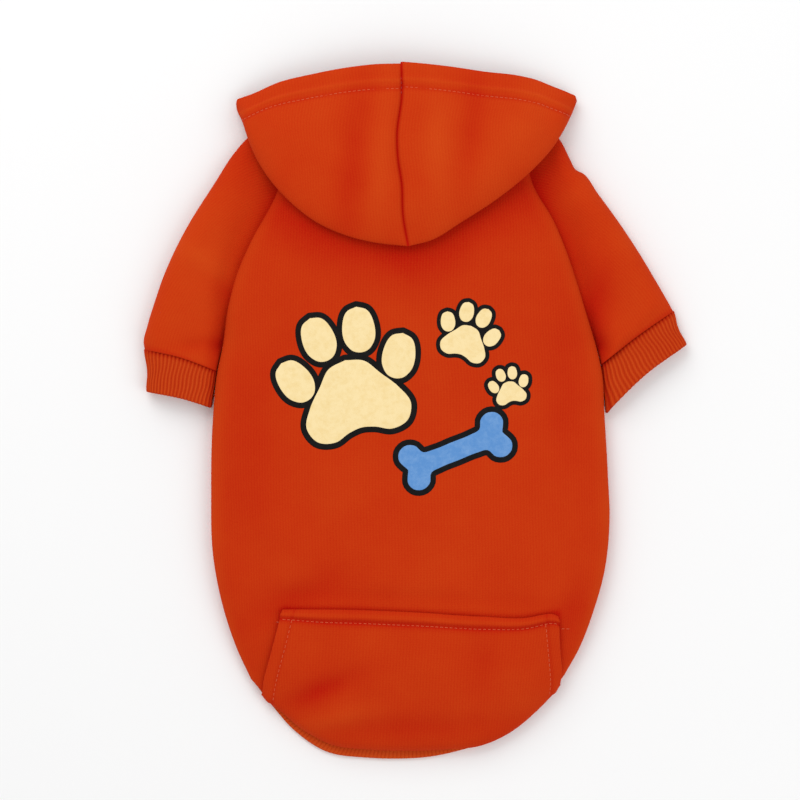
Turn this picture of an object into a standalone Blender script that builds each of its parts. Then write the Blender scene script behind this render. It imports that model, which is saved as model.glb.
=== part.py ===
"""A dog hoodie lying flat on its belly side, hood folded back over the back.

Every panel is one closed cloth wall, and a small gap stands for each seam.
X runs across the garment, +Y from the hem to the hood and +Z up from the surface it lies on.
In the tables, across is a share of CHEST_WIDTH from the middle line, and along a share of
BACK_LENGTH from the lowest point of the hem.
"""

import bpy
import numpy as np
from mathutils import Vector
from mathutils.bvhtree import BVHTree

MM = 0.001

# Driving sizes
BACK_LENGTH = 330 * MM  # hem to the back of the neck
CHEST_WIDTH = 219 * MM  # the body laid flat
FLEECE = 2.0 * MM  # body, sleeve and hood cloth
RIB_KNIT = 2.2 * MM  # cuffs and hem band
POCKET_CLOTH = 1.7 * MM
SEAM_GAP = 0.3 * MM  # between sewn pieces
POCKET_GAP = 0.55 * MM  # under the pocket cloth
BODY_LOFT = 22 * MM  # highest line of the back above the surface
SLEEVE_LOFT = 14.5 * MM
CUFF_LOFT = 10.5 * MM
ARMHOLE_HEIGHT = 8 * MM  # from the surface up to the back panel's edge, near the neck
HOOD_PUFF = 6.5 * MM  # how far the hood's top layer rises between fold and edge
HOOD_FOLD_INSIDE = 2.2 * MM  # inner radius of the fold at its tip
HOOD_CORNER_INSIDE = 1.0 * MM
HOOD_HEM_WIDTH = 13.5 * MM
HOOD_HEM_EXTRA = 1.2 * MM  # the folded hem is this much thicker
HOOD_SEAM_DIP = 1.6 * MM  # the groove at the centre seam
HOOD_SEAM_WIDTH = 3.2 * MM
HOOD_CLEARANCE = 5 * MM  # the under layer stays clear of cloth this near
SIDE_RISE = 4.8 * MM  # from the cloth below up to the body's widest line
HEM_RISE = 3.0 * MM
SIDE_TUCK = 3.5 * MM  # how far the side turns under
SLEEVE_SIDE = 4.2 * MM  # height of a sleeve's folded sides
CUFF_STEP = 0.8 * MM  # how much fuller the sleeve is than its cuff
HEM_BAND_WIDTH = 20 * MM
HEM_BAND_SHOW = 4.0 * MM  # what shows of the band past the cloth
HEM_BAND_HIDE = 1.2 * MM  # how far in it sits where it doesn't show
BELLY_HEM_BOW = 6.6 * MM  # how far the belly hem bows up in the middle
RIB_PITCH = 2.2 * MM
RIB_DEPTH = 0.35 * MM
POCKET_PUFF = 1.4 * MM
POCKET_HEM_WIDTH = 7 * MM
POCKET_HEM_RISE = 0.9 * MM

ORIGIN_ALONG = 0.579  # the table's along value at the frame's origin

# Cloth outlines: columns across, along
SIDE_LEFT = (
    (-0.411, 0.132), (-0.446, 0.182), (-0.481, 0.252), (-0.506, 0.337),
    (-0.511, 0.445), (-0.507, 0.562), (-0.496, 0.642), (-0.482, 0.687),
    (-0.466, 0.757), (-0.441, 0.815), (-0.411, 0.860), (-0.343, 0.947),
    (-0.322, 1.003), (-0.315, 1.058),
)
SIDE_RIGHT = (
    (0.376, 0.138), (0.413, 0.182), (0.451, 0.248), (0.476, 0.308),
    (0.490, 0.395), (0.486, 0.470), (0.477, 0.575), (0.471, 0.642),
    (0.456, 0.687), (0.433, 0.737), (0.411, 0.785), (0.381, 0.845),
    (0.351, 0.893), (0.293, 0.963), (0.280, 1.012), (0.278, 1.058),
)
HEM_LINE = (
    (-0.411, 0.132), (-0.379, 0.106), (-0.328, 0.071), (-0.283, 0.045),
    (-0.210, 0.022), (-0.122, 0.014), (-0.021, 0.012), (0.079, 0.014),
    (0.165, 0.023), (0.246, 0.048), (0.308, 0.082), (0.347, 0.112),
    (0.376, 0.138),
)
NECK_BACK = (
    (-0.315, 1.058), (-0.255, 1.036), (-0.185, 1.018), (-0.021, 1.005),
    (0.130, 1.018), (0.215, 1.036), (0.278, 1.058),
)
NECK_THROAT = (
    (-0.315, 1.058), (-0.185, 1.073), (-0.021, 1.078), (0.142, 1.073), (0.278, 1.058),
)
ARMPIT_ALONG = 0.687
BELLY_HEM_ALONG = 0.278
BELLY_INSET = 1.0 * MM

# Body heights, one row for each line across the body: share of the side's length, height of the
# back as a share of BODY_LOFT
CROWN = ((0.0, 0.50), (0.12, 0.74), (0.30, 0.93), (0.55, 1.0), (0.80, 1.0), (1.0, 0.80))

# Sleeves: upper outline from the neck to the cuff, then the cuff's two ends, outer point first
SLEEVE_LEFT = {
    "way": -1,
    "side": SIDE_LEFT,
    "outline": (
        (-0.315, 1.058), (-0.371, 1.057), (-0.418, 1.035), (-0.454, 1.008),
        (-0.501, 0.960), (-0.578, 0.878), (-0.627, 0.810), (-0.655, 0.757),
        (-0.672, 0.720), (-0.681, 0.692), (-0.678, 0.681),
    ),
    "cuff_start": ((-0.678, 0.681), (-0.590, 0.668), (-0.501, 0.645)),
    "cuff_end": ((-0.672, 0.612), (-0.590, 0.602), (-0.509, 0.586)),
    "cuff_rise": 1.18,
}
SLEEVE_RIGHT = {
    "way": 1,
    "side": SIDE_RIGHT,
    "outline": (
        (0.278, 1.058), (0.330, 1.055), (0.364, 1.032), (0.391, 0.998),
        (0.416, 0.977), (0.461, 0.940), (0.499, 0.907), (0.562, 0.845),
        (0.609, 0.793), (0.642, 0.755), (0.650, 0.745),
    ),
    "cuff_start": ((0.650, 0.745), (0.566, 0.706), (0.472, 0.656)),
    "cuff_end": ((0.682, 0.690), (0.590, 0.647), (0.484, 0.580)),
    "cuff_rise": 1.0,
}
CUFF_FULLNESS = 3.0  # power of the cuff's rounded section
# Height of a sleeve along its length, share of SLEEVE_LOFT: first row is the armhole seam
SLEEVE_RISE = ((0.14, 0.66), (0.42, 0.98), (0.68, 1.0), (0.90, 0.93))

# Hood outlines, each from the middle to the corner, and the lip back from the corner
HOOD_LEFT = {
    "way": -1,
    "fold": (
        (-0.016, 0.852), (-0.089, 0.857), (-0.172, 0.870), (-0.248, 0.893),
        (-0.310, 0.925), (-0.361, 0.962), (-0.396, 0.998), (-0.418, 1.032),
        (-0.436, 1.065), (-0.446, 1.093),
    ),
    "edge": (
        (-0.033, 1.155), (-0.097, 1.154), (-0.160, 1.150), (-0.260, 1.138),
        (-0.340, 1.125), (-0.411, 1.108), (-0.446, 1.093),
    ),
    "lip": ((-0.446, 1.093), (-0.361, 1.100), (-0.185, 1.099), (-0.021, 1.098)),
}
HOOD_RIGHT = {
    "way": 1,
    "fold": (
        (-0.016, 0.852), (0.042, 0.862), (0.117, 0.892), (0.205, 0.930),
        (0.293, 0.978), (0.343, 1.014), (0.376, 1.048), (0.396, 1.078), (0.409, 1.100),
    ),
    "edge": (
        (-0.033, 1.158), (0.067, 1.152), (0.192, 1.139), (0.293, 1.130),
        (0.356, 1.116), (0.409, 1.100),
    ),
    "lip": ((0.409, 1.100), (0.318, 1.102), (0.142, 1.099), (-0.021, 1.098)),
}
HOOD_SEAM = (
    (-0.016, 0.852), (-0.029, 0.903), (-0.032, 0.953), (-0.042, 1.000),
    (-0.044, 1.035), (-0.032, 1.103), (-0.033, 1.156),
)
HOOD_CORNER_AT = 0.66  # the corner's place among the under layer's columns
# Height of the hood's edge, share of BODY_LOFT, from the middle to the corner
HOOD_EDGE_RISE = ((0.0, 0.80), (0.35, 0.72), (0.75, 0.52), (0.92, 0.36), (1.0, 0.25))

# Pocket: its top edge, and where its sides end as shares of the hem
POCKET_TOP = ((-0.328, 0.233), (0.0, 0.229), (0.358, 0.225))
POCKET_FOOT = (0.062, 0.958)
POCKET_TURN = 0.30  # how far the pocket goes round the hem's quarter turn

# Where the hem band shows past the cloth: middle and half width as shares of its path
BAND_SHOWS_AT = 0.42
BAND_SHOWS_FOR = 0.20

# Soft dents and swells of the top cloth. Columns: across, along, turn in degrees from X,
# half length and half width as shares of CHEST_WIDTH, rise as a share of BODY_LOFT
BODY_FOLDS = (
    (-0.33, 0.250, 20, 0.14, 0.055, -0.09),
    (0.36, 0.250, -40, 0.11, 0.055, -0.07),
    (0.00, 0.262, -2, 0.36, 0.050, -0.05),
    (-0.22, 0.150, 28, 0.15, 0.060, -0.08),
    (-0.40, 0.560, 80, 0.22, 0.070, -0.05),
    (0.38, 0.600, 98, 0.22, 0.070, -0.05),
)
SLEEVE_FOLDS = (
    (-0.535, 0.715, 60, 0.080, 0.040, -0.13),
    (0.520, 0.720, 75, 0.140, 0.050, -0.15),
)
HOOD_FOLDS = (
    (-0.100, 1.020, 80, 0.130, 0.050, -0.06),
    (0.190, 1.010, 70, 0.140, 0.045, -0.05),
    (-0.250, 1.000, 40, 0.120, 0.060, 0.05),
)

CLOTH_ORANGE = (0.560, 0.042, 0.006, 1.0)
RIB_ORANGE = (0.500, 0.040, 0.008, 1.0)


def place(points):
    """Table rows of across and along as X and Y in metres."""
    points = np.asarray(points, float)
    return np.stack([points[..., 0] * CHEST_WIDTH, (points[..., 1] - ORIGIN_ALONG) * BACK_LENGTH], -1)


def smooth_line(points, share):
    """A smooth line through points, read at shares 0 to 1 of its length."""
    points = np.asarray(points, float)
    steps = np.linalg.norm(np.diff(points, axis=0), axis=1)
    knots = np.concatenate([[0.0], np.cumsum(steps)]) / steps.sum()
    slopes = np.gradient(points, knots, axis=0)
    share = np.clip(np.asarray(share, float), 0, 1)
    span = np.clip(np.searchsorted(knots, share, side="right") - 1, 0, len(knots) - 2)
    width = (knots[span + 1] - knots[span])[..., None]
    t = (share - knots[span])[..., None] / width
    start = (1 + 2 * t) * (1 - t) ** 2 * points[span] + t * (1 - t) ** 2 * slopes[span] * width
    end = t * t * (3 - 2 * t) * points[span + 1] - t * t * (1 - t) * slopes[span + 1] * width
    return start + end


def read(table, at):
    """A table of shares and values, read with a smooth step between rows."""
    shares, values = np.asarray(table, float).T
    at = np.clip(at, shares[0], shares[-1])
    span = np.clip(np.searchsorted(shares, at, side="right") - 1, 0, len(shares) - 2)
    t = (at - shares[span]) / (shares[span + 1] - shares[span])
    slopes = np.gradient(values, shares)
    width = shares[span + 1] - shares[span]
    start = (1 + 2 * t) * (1 - t) ** 2 * values[span] + t * (1 - t) ** 2 * slopes[span] * width
    return start + t * t * (3 - 2 * t) * values[span + 1] - t * t * (1 - t) * slopes[span + 1] * width


def share_at(points, along):
    """The share of a line's length at which it passes an along value."""
    shares = np.linspace(0, 1, 800)
    line = smooth_line(place(points), shares)[:, 1]
    return float(shares[np.argmin(np.abs(line - (along - ORIGIN_ALONG) * BACK_LENGTH))])


def outward(line, side):
    """Plan normals of a line given as points; side is +1 or -1 for its right or left."""
    along = np.gradient(line, axis=0)
    along /= np.linalg.norm(along, axis=-1, keepdims=True)
    return np.stack([along[..., 1], -along[..., 0]], -1) * side


def fill(first, last, start, end, s, w):
    """A plan surface inside four lines: first(s) at w 0, last(s) at w 1, start(w) and end(w)."""
    s_part, w_part = s[..., None], w[..., None]
    sides = (1 - s_part) * start(w) + s_part * end(w)
    ends = (1 - w_part) * first(s) + w_part * last(s)
    zero, one = np.zeros(1), np.ones(1)
    corners = (1 - w_part) * ((1 - s_part) * first(zero) + s_part * first(one))
    corners = corners + w_part * ((1 - s_part) * last(zero) + s_part * last(one))
    return sides + ends - corners


def fold_heights(table, plan):
    """Sum of soft ridges and dents, each a bell across its length and its width."""
    rise = np.zeros(plan.shape[:-1])
    for across, along, turn, half_length, half_width, height in table:
        middle = place((across, along))
        angle = np.radians(turn)
        local = (plan - middle) / CHEST_WIDTH
        lengthwise = local[..., 0] * np.cos(angle) + local[..., 1] * np.sin(angle)
        widthwise = local[..., 1] * np.cos(angle) - local[..., 0] * np.sin(angle)
        bell = np.exp(-((lengthwise / half_length) ** 2) - (widthwise / half_width) ** 2)
        rise += height * BODY_LOFT * bell
    return rise


def grid_faces(rows, columns, closed=False):
    """Quads of a grid of points numbered row by row."""
    across = columns if closed else columns - 1
    r, c = np.meshgrid(np.arange(rows - 1), np.arange(across), indexing="ij")
    after = (c + 1) % columns
    quads = [r * columns + c, r * columns + after, (r + 1) * columns + after, (r + 1) * columns + c]
    return np.stack(quads, -1).reshape(-1, 4)


def welded(points, faces):
    """Points within a hundredth of a millimetre made one, collapsed faces dropped, points kept."""
    _, first, index = np.unique(
        np.round(points / (0.01 * MM)).astype(int), axis=0, return_index=True, return_inverse=True
    )
    index = index.reshape(-1)
    kept = []
    for face in faces:
        corners = list(dict.fromkeys(int(index[corner]) for corner in face))
        if len(corners) > 2:
            kept.append(corners)
    return points[first], kept, first


def point_normals(points, faces):
    """Unit normals of the points, from the faces around each."""
    normals = np.zeros_like(points)
    for face in faces:
        for i in range(1, len(face) - 1):
            a, b, c = points[face[0]], points[face[i]], points[face[i + 1]]
            normal = np.cross(b - a, c - a)
            for corner in (face[0], face[i], face[i + 1]):
                normals[corner] += normal
    lengths = np.linalg.norm(normals, axis=1, keepdims=True)
    return normals / np.maximum(lengths, 1e-12)


def rim_edges(faces):
    """Edges that only one face uses, in that face's direction."""
    seen = {}
    for face in faces:
        for a, b in zip(face, face[1:] + face[:1]):
            key = (min(a, b), max(a, b))
            seen[key] = None if key in seen else (a, b)
    return [edge for edge in seen.values() if edge]


def cloth_wall(points, faces, thickness, seam=None):
    """A closed wall: the outer surface, the same moved inwards by thickness, and its rims.

    Points marked in seam move in the plane of the garment's centre seam only.
    """
    thickness = np.broadcast_to(thickness, len(points))
    seam = np.zeros(len(points), bool) if seam is None else seam
    points, faces, kept = welded(points, faces)
    normals = point_normals(points, faces)
    normals[seam[kept], 0] = 0
    normals /= np.linalg.norm(normals, axis=1, keepdims=True)
    inner = points - normals * thickness[kept][:, None]
    count = len(points)
    back = [[corner + count for corner in reversed(face)] for face in faces]
    rims = [[b, a, a + count, b + count] for a, b in rim_edges(faces)]
    return np.vstack([points, inner]), faces + back + rims


def add_piece(name, points, faces, material):
    mesh = bpy.data.meshes.new(name)
    mesh.from_pydata([tuple(point) for point in points], [], [list(face) for face in faces])
    mesh.update()
    mesh.shade_smooth()
    mesh.set_sharp_from_angle(angle=np.radians(50))
    mesh.materials.append(material)
    piece = bpy.data.objects.new(name, mesh)
    bpy.context.scene.collection.objects.link(piece)
    return piece


def make_material(name, colour, roughness):
    material = bpy.data.materials.new(name)
    material.use_nodes = True
    surface = material.node_tree.nodes["Principled BSDF"]
    surface.inputs["Base Color"].default_value = colour
    surface.inputs["Roughness"].default_value = roughness
    surface.inputs["Metallic"].default_value = 0.0
    return material


def spaced(count, power=1.0):
    """Shares 0 to 1 that crowd at both ends, as the cosine of even steps does."""
    even = np.linspace(0, 1, count)
    return (1 - power) * even + power * (1 - np.cos(np.pi * even)) / 2


def armpit_share():
    """The armpits' place along the sides, as a share of their length."""
    return (share_at(SIDE_LEFT, ARMPIT_ALONG) + share_at(SIDE_RIGHT, ARMPIT_ALONG)) / 2


# Body


def side_heights(w):
    """For shares along a side: the widest line's height, the edge's height and its tuck."""
    above = np.clip((w - armpit_share()) / 0.10, 0, 1)
    above = above * above * (3 - 2 * above)
    towards_hem = np.clip(1 - w / 0.15, 0, 1)
    low_edge = max(RIB_KNIT, FLEECE) + SEAM_GAP
    low_side = max(RIB_KNIT, FLEECE) + SIDE_RISE + (HEM_RISE - SIDE_RISE) * towards_hem
    edge = low_edge + (ARMHOLE_HEIGHT - low_edge) * above
    side = low_side * (1 - above) + (ARMHOLE_HEIGHT + FLEECE) * above
    tuck = SIDE_TUCK * (1 - above) + SEAM_GAP * above
    return side, edge, tuck


def hem_line(share):
    """The back panel's hem: the outline less what the pocket cloth stands proud of it."""
    even = np.linspace(0, 1, 60)
    line = smooth_line(place(HEM_LINE), even)
    covered = np.clip(np.minimum(even, 1 - even) / 0.07, 0, 1)[:, None]
    covered = covered * covered * (3 - 2 * covered)
    line = line - outward(line, 1) * covered * (POCKET_CLOTH + POCKET_GAP)
    return smooth_line(line, share)


def body_plan(s, w):
    """Plan points of the back panel: s across it, w from the hem to the neck."""
    return fill(
        hem_line,
        lambda share: smooth_line(place(NECK_BACK), share),
        lambda share: smooth_line(place(SIDE_LEFT), share),
        lambda share: smooth_line(place(SIDE_RIGHT), share),
        s, w,
    )


def body_top(s, w):
    """The back panel's outer surface: a low arch from side to side that rolls down at the hem."""
    plan = body_plan(s, w)
    side, _, _ = side_heights(w)
    across = 1 - np.abs(2 * s - 1) ** 3.0
    hem_roll = 1 - np.clip(1 - w / 0.30, 0, 1) ** 3.2
    rounding = np.sqrt(np.clip(across * hem_roll, 0, 1))
    height = side + (read(CROWN, w) * BODY_LOFT - side) * rounding
    height = height + fold_heights(BODY_FOLDS, plan) * np.clip(rounding * 1.5 - 0.3, 0, 1)
    return np.concatenate([plan, height[..., None]], -1)


def back_panel_surface(columns, rows, lip_rows):
    """Points and faces of the back panel's outer surface, with its turned-under edge."""
    s, w = np.meshgrid(spaced(columns), spaced(rows, 0.55), indexing="xy")
    top = body_top(s, w)
    points = top.reshape(-1, 3)
    faces = grid_faces(rows, columns).tolist()
    number = np.arange(rows * columns).reshape(rows, columns)
    rim = np.concatenate([number[::-1, 0], number[0, 1:], number[1:, -1]])
    shares = np.concatenate([w[::-1, 0], np.zeros(columns - 1), w[1:, -1]])
    _, edge, tuck = side_heights(shares)
    line = points[rim, :2]
    inward = -outward(line, 1)
    side = points[rim, 2]
    previous, made = rim, [points]
    for k in range(1, lip_rows + 1):
        turn = np.pi / 2 * k / lip_rows
        plan = line + inward * (tuck * (1 - np.cos(turn)))[:, None]
        height = side - (side - edge) * np.sin(turn)
        made.append(np.column_stack([plan, height]))
        current = len(points) + (k - 1) * len(rim) + np.arange(len(rim))
        for i in range(len(rim) - 1):
            faces.append([int(previous[i]), int(current[i]), int(current[i + 1]), int(previous[i + 1])])
        previous = current
    return np.vstack(made), faces


def body_skin(s, w):
    """The back panel's outer surface with w below 0 going on round the hem's turn."""
    top = body_top(s, np.maximum(w, 0))
    side, edge, tuck = side_heights(np.zeros(s.shape))
    even = np.linspace(0, 1, 200)
    inward = -outward(hem_line(even), 1)
    turn = np.pi / 2 * np.clip(-w, 0, 1)
    top[..., 0] += np.interp(s, even, inward[:, 0]) * tuck * (1 - np.cos(turn))
    top[..., 1] += np.interp(s, even, inward[:, 1]) * tuck * (1 - np.cos(turn))
    top[..., 2] -= (side - edge) * np.sin(turn)
    return top


def on_body(plan):
    """The shares s and w at which the back panel passes plan points, by Newton's steps."""
    step = 1e-4
    s, w = np.full(len(plan), 0.5), np.full(len(plan), 0.3)
    for _ in range(12):
        miss = body_plan(s, w) - plan
        by_s = (body_plan(s + step, w) - body_plan(s - step, w)) / (2 * step)
        by_w = (body_plan(s, w + step) - body_plan(s, w - step)) / (2 * step)
        area = by_s[:, 0] * by_w[:, 1] - by_s[:, 1] * by_w[:, 0]
        s = s - (miss[:, 0] * by_w[:, 1] - miss[:, 1] * by_w[:, 0]) / area
        w = w - (by_s[:, 0] * miss[:, 1] - by_s[:, 1] * miss[:, 0]) / area
        s, w = np.clip(s, step, 1 - step), np.clip(w, step, 1 - step)
    return s, w


def pocket_surface(columns, rows):
    """The patch pocket's outer surface over the back panel, and its wall at each point."""
    down = np.concatenate([[0, 0.10, 0.20, 0.24], np.linspace(0.34, 1, rows), [1.5, 2.0]])
    share, down = np.meshgrid(np.linspace(0, 1, columns), down, indexing="xy")
    flat = np.clip(down, 0, 1)
    top_s, top_w = on_body(smooth_line(place(POCKET_TOP), share[0]))
    foot_s = POCKET_FOOT[0] + (POCKET_FOOT[1] - POCKET_FOOT[0]) * share[0]
    s = top_s + (foot_s - top_s) * flat
    w = top_w * (1 - flat) - POCKET_TURN * np.clip(down - 1, 0, 1)
    skin = body_skin(s, w).reshape(-1, 3)
    faces = grid_faces(*s.shape)[:, ::-1].tolist()
    normals = point_normals(skin, faces)
    puff = POCKET_PUFF * np.sin(np.pi * share) ** 0.7 * np.sin(np.pi * flat) ** 0.8
    welt = POCKET_HEM_RISE * np.clip((0.22 - down) / 0.02, 0, 1)
    lift = POCKET_GAP + POCKET_CLOTH + puff + welt
    wall = POCKET_CLOTH + welt
    return skin + normals * lift.reshape(-1, 1), faces, wall.ravel()


def belly_panel_outline():
    """The flat belly panel: its hem, right side, throat line and left side, anticlockwise."""
    def side(table, way):
        low, high = share_at(table, BELLY_HEM_ALONG), 1.0
        shares = np.linspace(low, high, 22)
        line = smooth_line(place(table), shares)
        below_arm = np.clip((armpit_share() + 0.05 - shares) / 0.05, 0, 1)
        inset = SEAM_GAP + (BELLY_INSET - SEAM_GAP) * below_arm
        return line - outward(line, way) * inset[:, None]

    left, right = side(SIDE_LEFT, -1), side(SIDE_RIGHT, 1)
    throat = smooth_line(place(NECK_THROAT), np.linspace(1, 0, 12))
    hem_share = np.linspace(0, 1, 10)[1:-1, None]
    hem = left[0] * (1 - hem_share) + right[0] * hem_share
    hem[:, 1] += BELLY_HEM_BOW * np.sin(np.pi * hem_share[:, 0])
    return np.vstack([hem, right, throat[1:-1], left[::-1]])


def flat_wall(outline, thickness):
    """A level sheet on the surface, from its outline taken anticlockwise."""
    count = len(outline)
    low = np.column_stack([outline, np.zeros(count)])
    high = np.column_stack([outline, np.full(count, thickness)])
    sides = [[i, (i + 1) % count, (i + 1) % count + count, i + count] for i in range(count)]
    return np.vstack([low, high]), sides + [list(range(count))[::-1], list(range(count, 2 * count))]


# Hem band


def rim_path(share, grow):
    """The body's lower rim from the belly hem on the left, round the hem, to the right."""
    left = smooth_line(place(SIDE_LEFT), np.linspace(share_at(SIDE_LEFT, BELLY_HEM_ALONG), 0, 20))
    right = smooth_line(place(SIDE_RIGHT), np.linspace(0, share_at(SIDE_RIGHT, BELLY_HEM_ALONG), 20))
    hem = hem_line(np.linspace(0, 1, 50))
    line = np.vstack([left[:-1], hem, right[1:]])
    line = line + outward(line, 1) * grow
    return smooth_line(line, share)


def hem_band_wall(count):
    """The ribbed band: round the rim with its free edge turned in, then straight over the belly."""
    share = np.linspace(0, 1, count)
    rim_length = 2.0 * BACK_LENGTH * BELLY_HEM_ALONG + CHEST_WIDTH
    rim = rim_path(share, 0)
    shows = np.exp(-(((share - BAND_SHOWS_AT) / BAND_SHOWS_FOR) ** 4))
    proud = HEM_BAND_SHOW + POCKET_CLOTH + POCKET_GAP
    outer = rim + outward(rim, 1) * (shows * (proud + HEM_BAND_HIDE) - HEM_BAND_HIDE)[:, None]
    start = 1.7 * HEM_BAND_WIDTH / rim_length
    inner = rim_path(start + (1 - 2 * start) * share, -HEM_BAND_WIDTH)
    across = np.linspace(1, 0, 14)[1:-1, None]
    belly_outer = outer[0] * (1 - across) + outer[-1] * across
    belly_outer[:, 1] += BELLY_HEM_BOW * np.sin(np.pi * across[:, 0])
    belly_outer[:, 1] -= SEAM_GAP
    outer[[0, -1], 1] -= SEAM_GAP
    belly_inner = inner[0] * (1 - across) + inner[-1] * across
    belly_inner[:, 1] += BELLY_HEM_BOW * np.sin(np.pi * across[:, 0])
    loops = [np.vstack([outer, belly_outer]), np.vstack([inner, belly_inner])]
    total = len(loops[0])
    levels = [(loops[0], 0.0), (loops[0], RIB_KNIT), (loops[1], RIB_KNIT), (loops[1], 0.0)]
    points = np.vstack([np.column_stack([loop, np.full(total, z)]) for loop, z in levels])
    faces = []
    for k in range(4):
        after = (k + 1) % 4
        for i in range(total):
            j = (i + 1) % total
            faces.append([k * total + i, k * total + j, after * total + j, after * total + i])
    return points, faces


# Sleeves and cuffs


def sleeve_lines(sleeve):
    """The four plan lines of a sleeve: armhole seam, cuff line, upper outline, underarm."""
    side_table, way = sleeve["side"], sleeve["way"]
    armpit = share_at(side_table, ARMPIT_ALONG)
    line_end = place(sleeve["cuff_start"])[-1]
    cuff_share = share_at(side_table, sleeve["cuff_start"][-1][1])
    gap = SEAM_GAP * 1.5

    def beside(share):
        even = np.linspace(0, 1, 90)
        line = smooth_line(place(side_table), even)
        return smooth_line(line + outward(line, way) * gap, share)

    def seam(share):
        return beside(1 - np.asarray(share) * (1 - armpit))

    def underarm(share):
        return beside(armpit + (cuff_share - armpit) * np.asarray(share))

    def outline(share):
        line = smooth_line(place(sleeve["outline"]), share)
        return line + (1 - np.asarray(share)[..., None]) * (seam(0.0) - place(sleeve["outline"])[0])

    def cuff_line(share):
        line = smooth_line(place(sleeve["cuff_start"]), share)
        return line + np.asarray(share)[..., None] * (underarm(1.0) - line_end)

    return seam, cuff_line, outline, underarm


def ring_heights(s, top, middle, fullness):
    """Upper and lower heights of a flattened ring: s runs from one folded side to the other."""
    from_middle = np.abs(2 * s - 1)
    upper = middle + (top - middle) * np.sqrt(np.clip(1 - from_middle**fullness, 0, 1))
    return upper, middle * (1 - np.sqrt(np.clip(1 - from_middle**5, 0, 1)))


def sleeve_surface(sleeve, around, rings):
    """A flattened tube from the armhole seam to the cuff line, top cloth first then the under one."""
    lines = sleeve_lines(sleeve)
    armpit = share_at(sleeve["side"], ARMPIT_ALONG)
    half = around // 2
    s_row = np.concatenate([spaced(half + 1), spaced(half + 1)[::-1][1:-1]])
    is_top = np.concatenate([np.ones(half + 1), np.zeros(half - 1)]).astype(bool)
    w_row = np.concatenate([[0, 0.045], np.linspace(0.12, 0.90, rings - 4), [0.965, 1.0]])
    s, w = np.meshgrid(s_row, w_row, indexing="xy")
    plan = fill(*lines, s, w)
    seam_side, _, _ = side_heights(1 - s * (1 - armpit))
    seam_top = seam_side + SEAM_GAP
    cuff_top = CUFF_LOFT * sleeve["cuff_rise"] + CUFF_STEP
    body = read(SLEEVE_RISE, w) * SLEEVE_LOFT
    near_seam = np.clip(1 - w / 0.14, 0, 1) ** 1.5
    near_cuff = np.clip((w - 0.90) / 0.10, 0, 1) ** 2
    top = body * (1 - near_seam) * (1 - near_cuff) + seam_top * near_seam + cuff_top * near_cuff
    fullness = 8 * near_seam + 3.2 * (1 - near_seam)
    upper, lower = ring_heights(s, top, SLEEVE_SIDE, fullness)
    off_sides = np.clip((1 - np.abs(2 * s - 1)) * 3, 0, 1)
    off_ends = np.clip(w / 0.14, 0, 1) * np.clip((1 - w) / 0.08, 0, 1)
    upper = upper + fold_heights(SLEEVE_FOLDS, plan) * off_sides * off_ends
    height = np.where(is_top[None, :], upper, lower)
    points = np.concatenate([plan, height[..., None]], -1).reshape(-1, 3)
    faces = grid_faces(len(w_row), len(s_row), closed=True)
    return points, (faces if sleeve["way"] > 0 else faces[:, ::-1]).tolist()


def even_ring(top, plan_length, count):
    """Positions round a flattened ring, evenly spaced by length: shares across and which side."""
    fine = 400
    turn = np.linspace(0, 2 * np.pi, fine + 1)
    s_fine = (1 - np.cos(turn)) / 2
    upper, lower = ring_heights(s_fine, top, SLEEVE_SIDE, CUFF_FULLNESS)
    z = np.where(np.sin(turn) >= 0, upper, lower)
    steps = np.hypot(np.diff(s_fine) * plan_length, np.diff(z))
    length = np.concatenate([[0], np.cumsum(steps)])
    at = np.interp(np.linspace(0, length[-1], count, endpoint=False), length, turn)
    return at, length[-1]


def cuff_surface(sleeve, rings):
    """A ribbed tube: every second point round it stands out, one pair for each rib."""
    _, cuff_line, _, _ = sleeve_lines(sleeve)
    way = sleeve["way"]
    start = place(sleeve["cuff_start"])
    plan_length = np.linalg.norm(start[0] - start[-1])
    top = CUFF_LOFT * sleeve["cuff_rise"]
    _, perimeter = even_ring(top, plan_length, 16)
    ribs = int(round(perimeter / RIB_PITCH))
    turn, _ = even_ring(top, plan_length, 2 * ribs)
    s = (1 - np.cos(turn)) / 2
    w_row = np.linspace(0, 1, rings)
    end_points = place(sleeve["cuff_end"])
    drop = (end_points[0] - start[0]) / np.linalg.norm(end_points[0] - start[0])
    rows = []
    for w in w_row:
        near = cuff_line(s) + drop * SEAM_GAP * 1.3
        far = smooth_line(end_points, s)
        far = far + s[:, None] * np.array([way, 0]) * SEAM_GAP
        plan = near * (1 - w) + far * w
        upper, lower = ring_heights(s, top, SLEEVE_SIDE, CUFF_FULLNESS)
        rows.append(np.column_stack([plan, np.where(np.sin(turn) >= 0, upper, lower)]))
    points = np.vstack(rows)
    faces = grid_faces(rings, 2 * ribs, closed=True)
    faces = (faces if way > 0 else faces[:, ::-1]).tolist()
    normals = point_normals(points, faces)
    stands = np.tile(np.arange(2 * ribs) % 2, rings)
    points = points - normals * (RIB_DEPTH * stands)[:, None]
    points[:, 2] = np.maximum(points[:, 2], 0)
    return points, faces


# Hood


def resting_height(tree, plan, reach):
    """The greatest height of the cloth below, within reach of each plan point."""
    found = np.zeros(len(plan))
    rings = [(0.0, 0.0)] + [
        (share * reach * np.cos(a), share * reach * np.sin(a))
        for share in (0.5, 1.0) for a in np.arange(8) * np.pi / 4
    ]
    for i, (x, y) in enumerate(plan):
        for dx, dy in rings:
            hit = tree.ray_cast(Vector((x + dx, y + dy, 1.0)), Vector((0, 0, -1)))[0]
            if hit is not None:
                found[i] = max(found[i], hit.z)
    return found


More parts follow.
